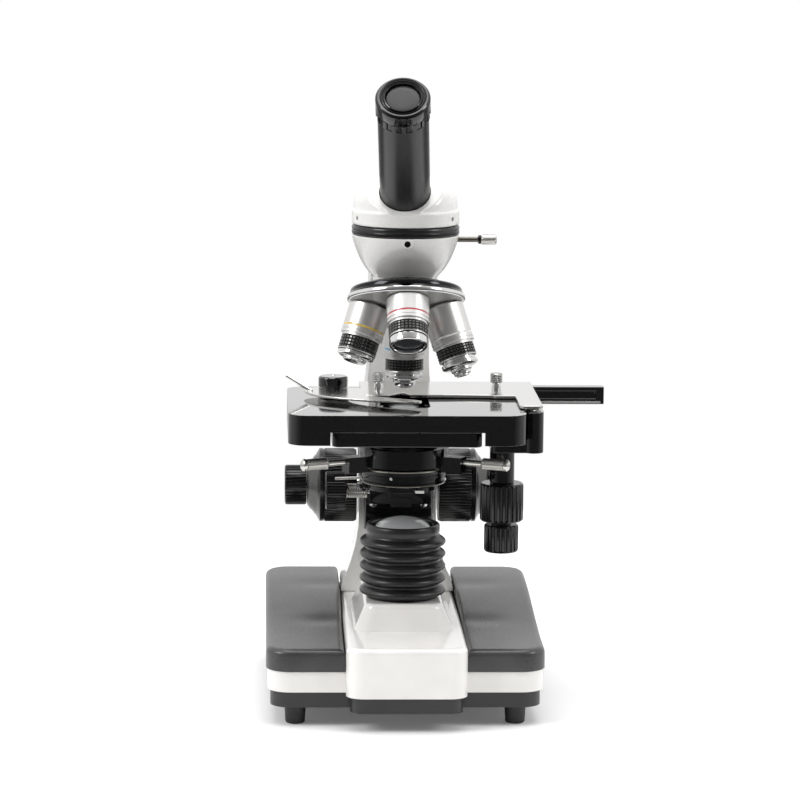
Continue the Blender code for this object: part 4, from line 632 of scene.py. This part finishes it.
# ---------------------------------------------------------------- arm and head
def build_arm():
    """The side outline drawn across, trimmed to the front outline, with the head's bowl joined on."""
    foot, reach = 48.1, 8
    front = smooth_line([(80, 175), (78, 205), (66, 230), (42, 245), (reach, 251)])
    rear = smooth_line([(reach, ARM_TOP), (46, 269.2), (86, 258), (106, 228), (115, 185), (118, 130),
                        (119, 80), (122, foot)])
    body = slab([(80, foot)] + front + rear, -SPINE_HALF, SPINE_HALF)
    moved(body, turned_to(x=90, z=90))
    top_half = 17.85
    flank = smooth_line([(33.5, 46.1), (33, 52.1), (27.9, 66), (24.1, 82), (22.9, 100), (22.9, 150),
                         (19, 172), (top_half, 186)])
    mirrored = [(-x, z) for x, z in reversed(flank)]
    mask = slab(flank + [(top_half, 280), (-top_half, 280)] + mirrored, -130, 10)
    body = boolean(body, "INTERSECT", moved(mask, turned_to(x=90)))
    bmesh.ops.dissolve_limit(body, angle_limit=math.radians(0.5), verts=body.verts, edges=body.edges)
    round_edges(body, 5.0, 5, lambda edge: sharp(edge, 45) and all(v.co.z > 49 for v in edge.verts)
                and all(v.co.y > 14 for v in edge.verts))
    wall = smooth_line([(30.5, 270.2), (28.9, 264.7), (26.1, 257.7), (22.6, 251.7), (18.3, 246.8)])
    bowl = lathe([(0, ARM_TOP), (30.1, ARM_TOP)] + wall + [(18.3, BOWL_FOOT), (0, BOWL_FOOT)], 144)
    body = join(body, bowl)
    slideway = box((-10.3, 75, 82), (10.3, 87.1, 152.5))
    pinion_room = box((-7, 85.8, 104.1), (7, 98.4, 116.9))
    shaft_hole = moved(rod(4.5, -46, 46), turned_to(y=90, at=FOCUS))
    light_path = rod(9.5, 240, 276)
    forward = turned_to(x=90, at=(0, 0, LOCK_HEIGHT))
    sideways = turned_to(y=90, at=(0, 0, LOCK_HEIGHT))
    front_screw_hole = moved(rod(1.8, 25.5, 32.5, 32), forward)
    lock_screw_hole = moved(rod(1.8, 21.5, 32.5, 32), sideways)
    body = cut(body, slideway, pinion_room, shaft_hole, light_path, front_screw_hole, lock_screw_hole)
    surface("arm", body, WHITE_CAST, edge=0.25, crease=28)
    rim = lathe([(1.85, 30.3), (2.6, 30.3), (3.0, 29.4), (1.85, 29.0)], 48, ring=True)
    piece("bowl_screw_seat", rim, WHITE_CAST, "arm", at=forward)
    socket = lathe([(0, 26.5), (0.9, 26.5), (1.0, 28.0), (1.7, 28.0), (1.7, 25.6), (0, 25.6)], 32)
    piece("bowl_set_screw", socket, ANODISED, "arm", at=forward)

    ring = lathe([(12.5, 276.5), (29.6, 276.5), (30.3, 275.9), (30.6, 275.0), (30.6, 274.2), (30.2, 273.9),
                  (30.2, 273.5), (30.6, 273.2), (30.5, 271.6), (30.0, 271.0), (12.5, 271.0)], 160, ring=True)
    surface("head_ring", ring, ANODISED, edge=0.12)

    radius, low, high = 2.9, 43.5, 51.3
    wall = [(radius, z) for z in rows(low, high, 6)]
    screw = lathe([(0, 52), (1.6, 51.9), (2.4, 51.6), (radius, 51.2)] + wall
                  + [(radius, 43.2), (2.5, 42.9), (2.5, 41.5), (1.9, 41.3), (1.5, 40.9), (1.5, 22.5),
                     (0, 22.5)], 80)
    knurl(screw, 20, 6, 0.22, low, high, radius, slanted=True)
    surface("head_lock_screw", screw, BRIGHT_STEEL, sideways,
            paint=[(SHAFT_STEEL, lambda p: p.z < 41.4), (DARK_CHROME, lambda p: 41.4 < p.z < 42.95)])


def melted(shape, above, passes):
    """Runs a shape's bodies into one skin and rounds off what lies above a height."""
    soft = add_object("work", to_mesh(shape, "work"))
    melt = soft.modifiers.new("melt", "REMESH")
    melt.mode = "VOXEL"
    melt.voxel_size = 0.5
    result = evaluated(soft)
    bpy.data.objects.remove(soft)
    for _ in range(passes):
        bmesh.ops.smooth_vert(result, verts=[v for v in result.verts if v.co.z > above], factor=0.5,
                              use_axis_x=True, use_axis_y=True, use_axis_z=True)
    return result


def build_head():
    """The 45 degree head: a soft dome whose neck grows out of it in one casting."""
    radius, height, fullness = 29.5, 18.8, 0.75
    dome = []
    for a in range(90, -1, -6):
        across, up = round(math.cos(math.radians(a)), 6), math.sin(math.radians(a))
        dome.append((radius * across ** fullness, DOME_FOOT + height * up ** fullness))
    housing = lathe(dome + [(29.6, 285.2), (30.3, 284.9), (30.5, 284.4), (30.5, 277.3), (30.0, 276.8),
                            (0, 276.8)], 144)
    turn = turned_to(z=HEAD_TURN)
    lean = turn @ turned_to(x=HEAD_LEAN, at=(0, 0, HEAD_PIVOT))
    neck = moved(lathe([(0, NECK_END), (17.3, NECK_END), (17.6, 20), (18.3, 16), (0, 16)], 128), lean)
    ahead = moved(box((-60, -60, NECK_END), (60, 60, 90)), lean)
    housing = melted(cut(join(housing, neck), ahead), above=DOME_FOOT - 0.4, passes=26)
    holes = {side: turned_to(y=90, z=angle - 90 + HEAD_TURN, at=(0, 0, HOLE_HEIGHT))
             for side, angle in HEAD_HOLES}
    ring_seat = rod(26, 275, 279.8, 96)
    prism_room = moved(box((-7.8, -7.8, 276.3), (7.8, 7.8, 292.1)), turn)
    tube_bore = moved(rod(14.6, 9, 42, 96), lean)
    housing = cut(housing, ring_seat, prism_room, tube_bore,
                  *[moved(rod(1.35, 26, 33, 24), hole) for hole in holes.values()])
    surface("head_housing", housing, WHITE_CAST, crease=50)
    for side, hole in holes.items():
        screw = lathe([(0, 28.2), (0.6, 28.2), (0.7, 28.8), (1.3, 28.8), (1.3, 26.6), (0, 26.6)], 24)
        piece(f"head_set_screw_{side}", screw, BLACK_PLASTIC, "head_housing", at=hole)

    outer, foot = 14.15, 15
    tube = lathe([(11.9, 90.2), (12.2, 90.5), (13.8, 90.5), (outer, 90.1), (outer, foot), (11.65, foot)],
                 128, ring=True)
    surface("eyepiece_tube", tube, TUBE_BLACK, lean, edge=0.1)
    head = lathe([(9.7, 103.9), (9.9, 104.3), (10.2, 104.4), (10.5, 104.2), (10.6, 103.6), (11.7, 104.0),
                  (11.8, 104.4), (12.1, 104.3), (12.2, 103.9), (13.3, 104.4), (13.9, 104.4), (14.5, 103.9),
                  (15.1, 103.1), (15.1, 97.5), (14.9, 97.0), (14.9, 96.7), (15.1, 96.4), (15.1, 91.3),
                  (14.7, 90.8), (11.6, 90.8), (11.6, 59.1), (11.1, 58.8), (10.5, 58.8), (10.5, 94.8),
                  (8.3, 94.8), (8.3, 98.7), (9.7, 98.7)], 192, ring=True)
    flute(head, 16, 0.75, 90.7, 96.45, 14.65)
    surface("eyepiece_body", head, GLOSS_PLASTIC, lean)
    lens = lathe([(0, 103.3), (5, 103.25), (8.6, 103.1), (9.2, 102.9), (9.4, 102.5), (9.4, 99), (0, 99)], 96)
    surface("eye_lens", lens, EYE_GLASS, lean)


# ---------------------------------------------------------------- turret and objectives
TURRET = turned_to(x=-TURRET_TILT, at=(0, 0, TURRET_CENTRE))


def on_turret(quarter):
    """Where an objective's axis stands in the turret, a number of quarter turns round it."""
    return turned_to(x=TURRET_TILT, z=90 * quarter)


def build_turret():
    surface("nosepiece_mount", from_node("nosepiece_mount"), BLACK_GLOSS, edge=0.3)
    shell = lathe([(3.5, -54.4), (29.0, -54.4), (30.4, -54.8), (31.3, -55.6), (31.6, -56.6), (31.6, -57.6),
                   (32.2, -58.0), (33.0, -59.2), (33.3, -60.4), (33.2, -61.4), (32.8, -62.0), (31.8, -62.2),
                   (8, -69.3), (3.5, -69.3)], 160, ring=True)
    bores = [moved(rod(9.7, -76, -46), on_turret(quarter)) for quarter in range(4)]
    outside = 10.5
    surface("turret_shell", cut(shell, *bores), CHROME, TURRET, edge=0.15,
            paint=[(DARK_CHROME, lambda p: p.z > -58.7 and from_axis(p) > outside),
                   (SHELL_CHROME, lambda p: p.z < -62.0 and from_axis(p) > outside)])


def build_objective(name, quarter, sleeve, grip, nose, tip_radii, tip, band, sprung=False):
    """One objective, from its thread down: sleeve, grip and nose lengths, then the tip below.

    tip_radii are the wide and narrow steps of a high power's tip.  Without them the nose is the
    open ring of a low power, with its lens inside.
    """
    place = TURRET @ on_turret(quarter)
    waist = SHOULDER - sleeve
    end = waist - grip
    low, high = end + 0.5, waist - 1.4
    outer, inner, bore, thread = 12.0, 10.9, 9.65, 9.4
    wall = [(outer, SHOULDER - 0.5), (outer, waist + 5.0), (11.85, waist + 4.9), (11.85, waist + 3.9),
            (outer, waist + 3.8), (outer, waist + 2.1), (11.6, waist + 1.9), (11.6, waist + 1.4),
            (outer, waist + 1.2), (outer, waist + 0.3), (11.7, waist), (inner, waist - 0.1), (inner, high)]
    grid = [(inner, z) for z in rows(low, high, 4)]
    foot = [(inner, low), (10.75, end), (bore, end), (bore, end + 6), (7, end + 6)]
    barrel = lathe([(7, SHOULDER + 6), (thread, SHOULDER + 6), (thread, SHOULDER), (11.5, SHOULDER)]
                   + wall + grid + foot, 160, ring=True)
    knurl(barrel, 32, 4, 0.45, low, high, inner)
    # The grip's crests are painted grey as a painted highlight; its grooves are black.
    surface(f"objective_{name}_barrel", barrel, SLEEVE_CHROME, place,
            paint=[(BLACK_PLASTIC, lambda p: end - SLIP <= p.z < waist - 0.12 and 9.8 < from_axis(p) < 10.75),
                   (KNURL_PAINTED_HIGHLIGHT, lambda p: end + 0.3 <= p.z < waist - 1.2 and from_axis(p) >= 10.75),
                   (band, lambda p: waist + 3.85 < p.z < waist + 4.95 and from_axis(p) > 11)])
    top = end + 4.2
    face = end - nose
    if tip_radii:
        wide, narrow = tip_radii
        middle = (wide + narrow) / 2
        point = face - tip
        collar = end - (1.75 if sprung else 0.25)
        mount = [(3, top), (9.3, top), (9.3, collar), (10.3, collar - 0.2), (10.4, collar - 0.5),
                 (10.4, face + 1.2), (10.1, face + 0.9), (9.4, face + 0.4), (8.8, face + 0.1),
                 (wide + 0.3, face - 0.02 * tip), (wide, face - 0.1 * tip), (wide, face - 0.38 * tip),
                 (middle + 0.3, face - 0.45 * tip), (middle, face - 0.7 * tip), (middle, face - 0.82 * tip),
                 (narrow, face - 0.88 * tip), (narrow, point), (2.2, point), (2.2, point + 1.2),
                 (1.2, point + 1.6), (1.2, top - 3)]
        surface(f"objective_{name}_nose", lathe(mount, 128, ring=True), CHROME, place, edge=0.1)
        return
    mount = [(6.9, top), (9.35, top), (9.35, end - 0.2), (10.3, end - 0.4), (10.7, end - 0.9),
             (10.7, face + 0.8), (10.4, face + 0.2), (9.8, face), (9.1, face + 0.2), (8.7, face + 0.8),
             (8.6, face + 5), (6.9, face + 5)]
    surface(f"objective_{name}_nose", lathe(mount, 128, ring=True), CHROME, place, edge=0.1)
    lens = [(0, face + 4.7), (8.3, face + 4.7), (8.3, face + 2.4), (6.9, face + 1.8), (4.6, face + 1.3),
            (2.3, face + 1.05), (0, face + 1.0)]
    surface(f"objective_{name}_lens", lathe(lens, 96), FRONT_GLASS, place, crease=50)


# ---------------------------------------------------------------- focus drive
def build_focus():
    surface("focus_carriage", from_node("focus_carriage"), BLACK_GLOSS, edge=0.5)
    for side, x in (("left", -15.2), ("right", 15.2)):
        head = lathe([(0, 0.9), (1.6, 0.75), (2.0, 0.2), (2.0, -1.0), (0, -1.0)], 32)
        head = cut(head, box((-0.3, -3, 0.35), (0.3, 3, 2)))
        piece(f"carriage_screw_{side}", head, STEEL, "focus_carriage", at=turned_to(x=90, at=(x, 66, 103.4)))
    radius, fine_radius = 22, 11.9
    coarse = [(2.0, 54), (11.6, 54), (12.0, 53.6), (12.4, 53.6), (14.6, 51.9), (14.9, 51.3), (17.6, 49.4),
              (17.9, 48.9), (20.4, 47.4), (21.2, 47), (radius, 46.4), (radius, 44.5), (21.6, 44.2),
              (21.6, 43.6), (radius, 43.3), (radius, 26.2), (21.2, 24.5), (2.0, 24.5)]
    fine = [(0, 66.6), (8.6, 66.6), (9.0, 67.0), (10.9, 67.3), (11.6, 66.9), (fine_radius, 66.2),
            (fine_radius, 55.4), (11.4, 54.5), (11.2, 54.3)]
    # The fine drive's shaft belongs to its left knob.
    tails = {"left": [(1.7, 54.3), (1.7, -54), (0, -54)], "right": [(0, 54.3)]}
    for side, name in ((1, "right"), (-1, "left")):
        place = turned_to(y=90 * side, at=FOCUS)
        shape = lathe(coarse, 288, ring=True)
        flute(shape, 72, 0.5, 26.2, 43.3, radius)
        surface(f"coarse_knob_{name}", shape, BLACK_PLASTIC, place,
                paint=[(CONE_METAL, lambda p: 47.5 < p.z < 53.7 and 12.3 < from_axis(p) < 20.5)])
        shape = lathe(fine + tails[name], 216)
        flute(shape, 36, 0.6, 55.4, 66.2, fine_radius)
        surface(f"fine_knob_{name}", shape, BLACK_PLASTIC, place)


# ---------------------------------------------------------------- stage
def build_stage():
    surface("stage_bracket", from_node("stage_bracket"), BLACK_GLOSS, edge=0.4)
    surface("stage_lower_plate", from_node("stage_lower_plate"), BLACK_GLOSS, edge=0.4)
    plate = box((-STAGE_HALF, -59, STAGE_FLOOR), (STAGE_HALF, 55, STAGE_TOP), 11, 12)
    hollow = box((-63.3, -55.8, 157), (63.3, 75, 168), 7.8)
    front_notch = box((-43, -61, 156), (43, -53, 165.7))
    light_hole = box((-14, -30, 166), (14, 30, 178), 6, 10)
    plate = cut(plate, hollow, front_notch, light_hole)
    # The plate's rounded edges are painted bright: a painted highlight along its outline.
    surface("stage_upper_plate", plate, BLACK_GLOSS, edge=0.45, painted_highlight_edges=True)
    surface("stage_drive_post", from_node("stage_drive_post"), BLACK_GLOSS, edge=0.4)
    screw = lathe([(0, 175.2), (2.9, 175.2), (3.3, 174.9), (3.3, 174.2), (0, 174.2)], 48)
    screw = cut(screw, box((-4, -0.35, 174.8), (4, 0.35, 176)))
    piece("post_screw", screw, BRIGHT_STEEL, "stage_drive_post", at=turned_to(z=20, at=(72.15, -32, 0)))

    place = turned_to(at=(STAGE_KNOB_X, 0, 0))
    low, high = 107.3, 126.4
    y_knob = lathe([(2.8, 150.5), (5, 150.5), (5, 127.8), (11.6, 127.8), (12.3, 127.1), (12.5, high),
                    (12.5, low), (12.3, 106.5), (11.6, 105.8), (2.8, 105.8)], 192, ring=True)
    flute(y_knob, 24, 0.9, low, high, 12.45)
    surface("y_knob", y_knob, BLACK_PLASTIC, place)
    low, high = 89.3, 102.4
    x_knob = lathe([(0, 151.2), (2.5, 151.2), (2.5, 105.5), (5.5, 105.5), (5.5, 103.7), (9.1, 103.7),
                    (9.7, 103.1), (9.9, high), (9.9, low), (9.7, 88.6), (9.1, 87.9), (0, 87.9)], 160)
    flute(x_knob, 20, 0.8, low, high, 9.85)
    surface("x_knob", x_knob, BLACK_PLASTIC, place)


def build_rack():
    """The rail's rack, with one tooth for every second cut along its lower edge."""
    start, end, floor, cuts = -5, 118, 165.2, 163
    rack = box((start, 55.15, floor), (end, 56.0, 167.0))
    along = [edge for edge in rack.edges if abs(edge.verts[0].co.x - edge.verts[1].co.x) > 1]
    bmesh.ops.subdivide_edges(rack, edges=along, cuts=cuts, use_grid_fill=True)
    pitch = (end - start) / (cuts + 1)
    for vertex in rack.verts:
        if vertex.co.z < floor + 0.1 and round((vertex.co.x - start) / pitch) % 2:
            vertex.co.z += 0.9
    piece("x_rack", rack, RACK_METAL, "x_rail", crease=20)


def build_slide_holder():
    surface("x_rail", from_node("x_rail"), BLACK_GLOSS, edge=0.4)
    build_rack()
    surface("specimen_holder", from_node("specimen_holder"), STEEL, edge=0.25,
            paint=[(BLACK_GLOSS, lambda p: p.z > 178.4 and p.x < -30)])
    pin = lathe([(0, 186.0), (0.9, 186.0), (1.3, 185.7), (1.3, 185.5), (0, 185.5)], 32)
    piece("hub_pin", pin, STEEL, "specimen_holder", at=turned_to(at=(-40, 27, 0)))
    radius, low, high = 3.5, 181.4, 185.8
    for x, side in ((-13.5, "left"), (55, "right")):
        wall = [(radius, z) for z in rows(low, high, 4)]
        screw = lathe([(0, 186.2), (2.6, 186.4), (3.1, 186.4), (radius, 186.0)] + wall
                      + [(radius, 181.2), (2.9, 180.9), (2.3, 180.6), (2.3, 180.0), (2.9, 178.2),
                         (2.8, 177.7), (1.2, 177.7), (1.2, 175.8), (0, 175.8)], 96)
        knurl(screw, 24, 4, 0.2, low, high, radius)
        surface(f"holder_screw_{side}", screw, SCALE_METAL, turned_to(at=(x, 34, 0)),
                paint=[(CHROME, lambda p: p.z < 181.0)])
    surface("slide_finger", from_node("slide_finger"), STEEL, edge=0.3)


# ---------------------------------------------------------------- condenser
def build_condenser():
    body = lathe([(9, 172), (11.4, 172), (12.1, 171.7), (12.4, 171), (12.4, 152.4), (18.5, 151),
                  (19.4, 150.7), (20, 149.8), (20, 146.4), (19.7, 146.2), (19.7, 145.8), (20, 145.6),
                  (20, 138.6), (20.3, 137.9), (21.0, 137.7), (23.7, 137.7), (24.3, 137.5), (24.5, 136.9),
                  (24.5, 135.2), (24.1, 135.0), (24.1, 134.7), (24.5, 134.5), (24.5, 132.5), (21.1, 132.5),
                  (21.1, 130.1), (24.5, 130.1), (24.5, 129.2), (23.9, 128.6), (16, 128.6), (7, 132.6),
                  (7, 167), (9, 167)], 144, ring=True)
    filter_pin = moved(rod(1.3, 123, 129.6, 24), turned_to(at=(-22.5, 0, 0)))
    # Two thin bright rings are painted on the chamfers: painted highlights.
    surface("condenser_body", join(body, filter_pin), BLACK_GLOSS, edge=0.15,
            paint=[(PAINTED_EDGE_HIGHLIGHT, lambda p: from_axis(p) > 23.6 and (137.1 < p.z < 137.65
                                                                  or 128.7 < p.z < 129.1))])
    dot = lathe([(0, 24.65), (0.8, 24.65), (0.9, 24.4), (0, 24.4)], 24)
    piece("iris_index_dot", dot, INDEX_PAINT, "condenser_body", at=turned_to(x=90, z=-19, at=(0, 0, 133.6)))
    line = box((-0.35, 19.6, 139.5), (0.35, 20.12, 145.0))
    piece("condenser_index_line", line, INDEX_PAINT, "condenser_body", at=turned_to(z=170))
    lens = lathe([(0, 172.2), (4, 172.1), (6.1, 172.0), (8.7, 171), (8.7, 167.3), (0, 167.3)], 96)
    surface("condenser_lens", lens, COLLECTOR_GLASS, crease=50)
    surface("iris_lever", from_node("iris_lever"), BRIGHT_STEEL, edge=0.2,
            paint=[(BLACK_GLOSS, lambda p: from_axis(p) < 24.6)])
    surface("filter_ring", from_node("filter_ring"), BLACK_GLOSS, edge=0.25,
            paint=[(INDEX_PAINT, lambda p: p.y < -20.45 and p.x > 0)])
    surface("condenser_carrier", from_node("condenser_carrier"), BLACK_GLOSS, edge=0.4)

    radius, low, high = 3.3, 49.4, 61.8
    for side, yaw in (("left", 205), ("right", -25)):
        wall = [(radius, z) for z in rows(low, high, 8)]
        screw = lathe([(0, 65), (1.6, 64.9), (2.6, 64.4), (radius, 63.8), (3.6, 63.0), (3.5, 62.4),
                       (2.6, 62.2), (radius, 61.9)] + wall
                      + [(radius, 49.2), (2.9, 48.7), (1.8, 48), (1.8, 37.3), (1.4, 37.3), (1.4, 20.3),
                         (0, 20.3)], 96)
        knurl(screw, 16, 8, 0.28, low, high, radius, slanted=True)
        surface(f"centring_screw_{side}", screw, BRIGHT_STEEL,
                turned_to(y=90, z=yaw, at=(0, 0, CENTRING_HEIGHT)))

    radius, low, high = 4.3, 20.2, 31.0
    wall = [(radius, z) for z in rows(low, high, 8)]
    knob = lathe([(0, 43.2), (7.6, 43.2), (8.0, 43.7), (10.4, 43.7), (11.0, 43.3), (11.2, 42.6),
                  (11.2, 32.9), (11.0, 32.1), (10.4, 31.7), (4.6, 31.7), (radius, 31.4)] + wall
                 + [(radius, 19.6), (4.0, 19.2), (2.0, 19.2), (2.0, 4.6), (5.7, 4.6), (5.7, -4.6),
                    (0, -4.6)], 160)
    flute(knob, 40, 0.5, 32.9, 42.6, 11.15)
    knurl(knob, 40, 8, 0.2, low, high, radius)
    surface("condenser_knob", knob, BLACK_PLASTIC, turned_to(y=-90, at=(0, 46, 115)),
            paint=[(BRIGHT_STEEL, lambda p: p.z < 31.5)])


build_base()
build_pads()
build_cover_and_feet()
build_lamp_house()
build_back_panel()
build_arm()
build_head()
build_turret()
build_objective("40x", 0, 24.0, 8.4, 5.0, (6.8, 5.0), 4.9, BLUE_BAND, sprung=True)
build_objective("10x", 1, 18.0, 9.6, 3.2, (6.6, 6.0), 1.8, YELLOW_BAND)
build_objective("4x", 2, 15.0, 8.5, 5.0, None, 0.0, RED_BAND)
build_objective("100x", 3, 22.5, 8.4, 5.0, (6.0, 3.6), 4.9, PLAIN_BAND, sprung=True)
build_focus()
build_stage()
build_slide_holder()
build_condenser()
# These keep their CAD shapes, which are plain turned or cut parts mostly hidden inside.
for kept, look in (("coarse_shaft", STEEL), ("prism", PRISM_GLASS), ("lamp_bulb", LAMP_GLASS),
                   ("lamp_socket", COVER)):
    frame["nodes"][kept].data.materials.clear()
    frame["nodes"][kept].data.materials.append(look)


# ---------------------------------------------------------------- studio
SOFTBOXES = (               # name, place in metres, side in metres, watts
    ("key_softbox", (-1.4, -0.65, 1.2), 0.7, 13.0),
    ("fill_softbox", (1.4, -0.6, 1.1), 0.5, 7.0),
    ("top_softbox", (0.0, -0.1, 1.8), 1.2, 16.0),
)
LIT_POINT = Vector((0, 0, 0.18))
PAPER_RADIUS = 0.6
PAPER_DROP = 0.0002         # keeps the paper just under the feet
PAPER_GLOW = 0.1


def build_world():
    """White walls at the back and sides, and a white background wherever the camera looks."""
    world = bpy.data.worlds.new("studio")
    bpy.context.scene.world = world
    world.use_nodes = True
    tree = world.node_tree
    rays = add_node(tree, "ShaderNodeLightPath")
    where = add_node(tree, "ShaderNodeTexCoord")
    parts = add_node(tree, "ShaderNodeSeparateXYZ", None, {"Vector": where.outputs["Generated"]})
    # The room is darker in front and below the paper, so gloss black keeps its depth and its
    # bright edges.
    ahead = add_node(tree, "ShaderNodeMapRange",
                     {"From Min": -0.75, "From Max": -0.05, "To Min": 0.2, "To Max": 1.0},
                     {"Value": parts.outputs["Y"]})
    below = add_node(tree, "ShaderNodeMapRange",
                     {"From Min": -0.25, "From Max": 0.0, "To Min": 0.15, "To Max": 1.0},
                     {"Value": parts.outputs["Z"]})
    room = add_node(tree, "ShaderNodeMath", {"operation": "MULTIPLY"},
                    {0: ahead.outputs["Result"], 1: below.outputs["Result"]})
    plain = add_node(tree, "ShaderNodeMix", {"data_type": "FLOAT", "B": 1.0},
                     {"Factor": rays.outputs["Is Camera Ray"], "A": room.outputs[0]})
    background = tree.nodes["Background"]
    tree.links.new(plain.outputs["Result"], background.inputs["Strength"])
    background.inputs["Color"].default_value = (1, 1, 1, 1)


def build_floor():
    """A round sheet of matt white paper, which glows a little to the camera to stay white."""
    paper = new_material("white_paper_sheet", "#F1F1F1", 0.9,
                         {"Specular IOR Level": 0.1, "Emission Color": (1, 1, 1, 1)})
    tree = paper.node_tree
    rays = add_node(tree, "ShaderNodeLightPath")
    glow = add_node(tree, "ShaderNodeMath", {"operation": "MULTIPLY", 1: PAPER_GLOW},
                    {0: rays.outputs["Is Camera Ray"]})
    tree.links.new(glow.outputs[0], tree.nodes["Principled BSDF"].inputs["Emission Strength"])
    floor = bmesh.new()
    bmesh.ops.create_circle(floor, cap_ends=True, segments=96, radius=PAPER_RADIUS)
    mesh = to_mesh(floor, "studio_floor")
    mesh.materials.append(paper)
    sheet = add_object("studio_floor", mesh)
    sheet.location.z = -PAPER_DROP


def build_lights():
    for name, spot, size, power in SOFTBOXES:
        lamp = bpy.data.lights.new(name, "AREA")
        lamp.size = size
        lamp.energy = power
        holder = add_object(name, lamp)
        holder.location = spot
        holder.rotation_euler = (LIT_POINT - Vector(spot)).to_track_quat("-Z", "Y").to_euler()
    bpy.context.scene.view_settings.view_transform = "Standard"


CAMERA_AZIMUTH = -2.3
CAMERA_ELEVATION = 8.4
CAMERA_ROLL = 0.5
CAMERA_DISTANCE = 2.0
LENS_MM = 157.5
SENSOR_MM = 36.0
AIM = (-2.3, 0.0, 175.5)


def build_camera():
    azimuth, elevation = math.radians(CAMERA_AZIMUTH), math.radians(CAMERA_ELEVATION)
    back = Vector((math.sin(azimuth) * math.cos(elevation), -math.cos(azimuth) * math.cos(elevation),
                   math.sin(elevation)))
    lens = bpy.data.cameras.new("camera")
    lens.sensor_width = SENSOR_MM
    lens.lens = LENS_MM
    lens.clip_start = 0.1
    lens.clip_end = 50.0
    camera = add_object("camera", lens)
    camera.location = PLACE @ Vector(AIM) + back * CAMERA_DISTANCE
    upright = (-back).to_track_quat("-Z", "Y").to_matrix()
    roll = Matrix.Rotation(math.radians(CAMERA_ROLL), 3, "Z")
    camera.rotation_euler = (upright @ roll).to_euler()
    bpy.context.scene.camera = camera


build_world()
build_floor()
build_lights()
build_camera()
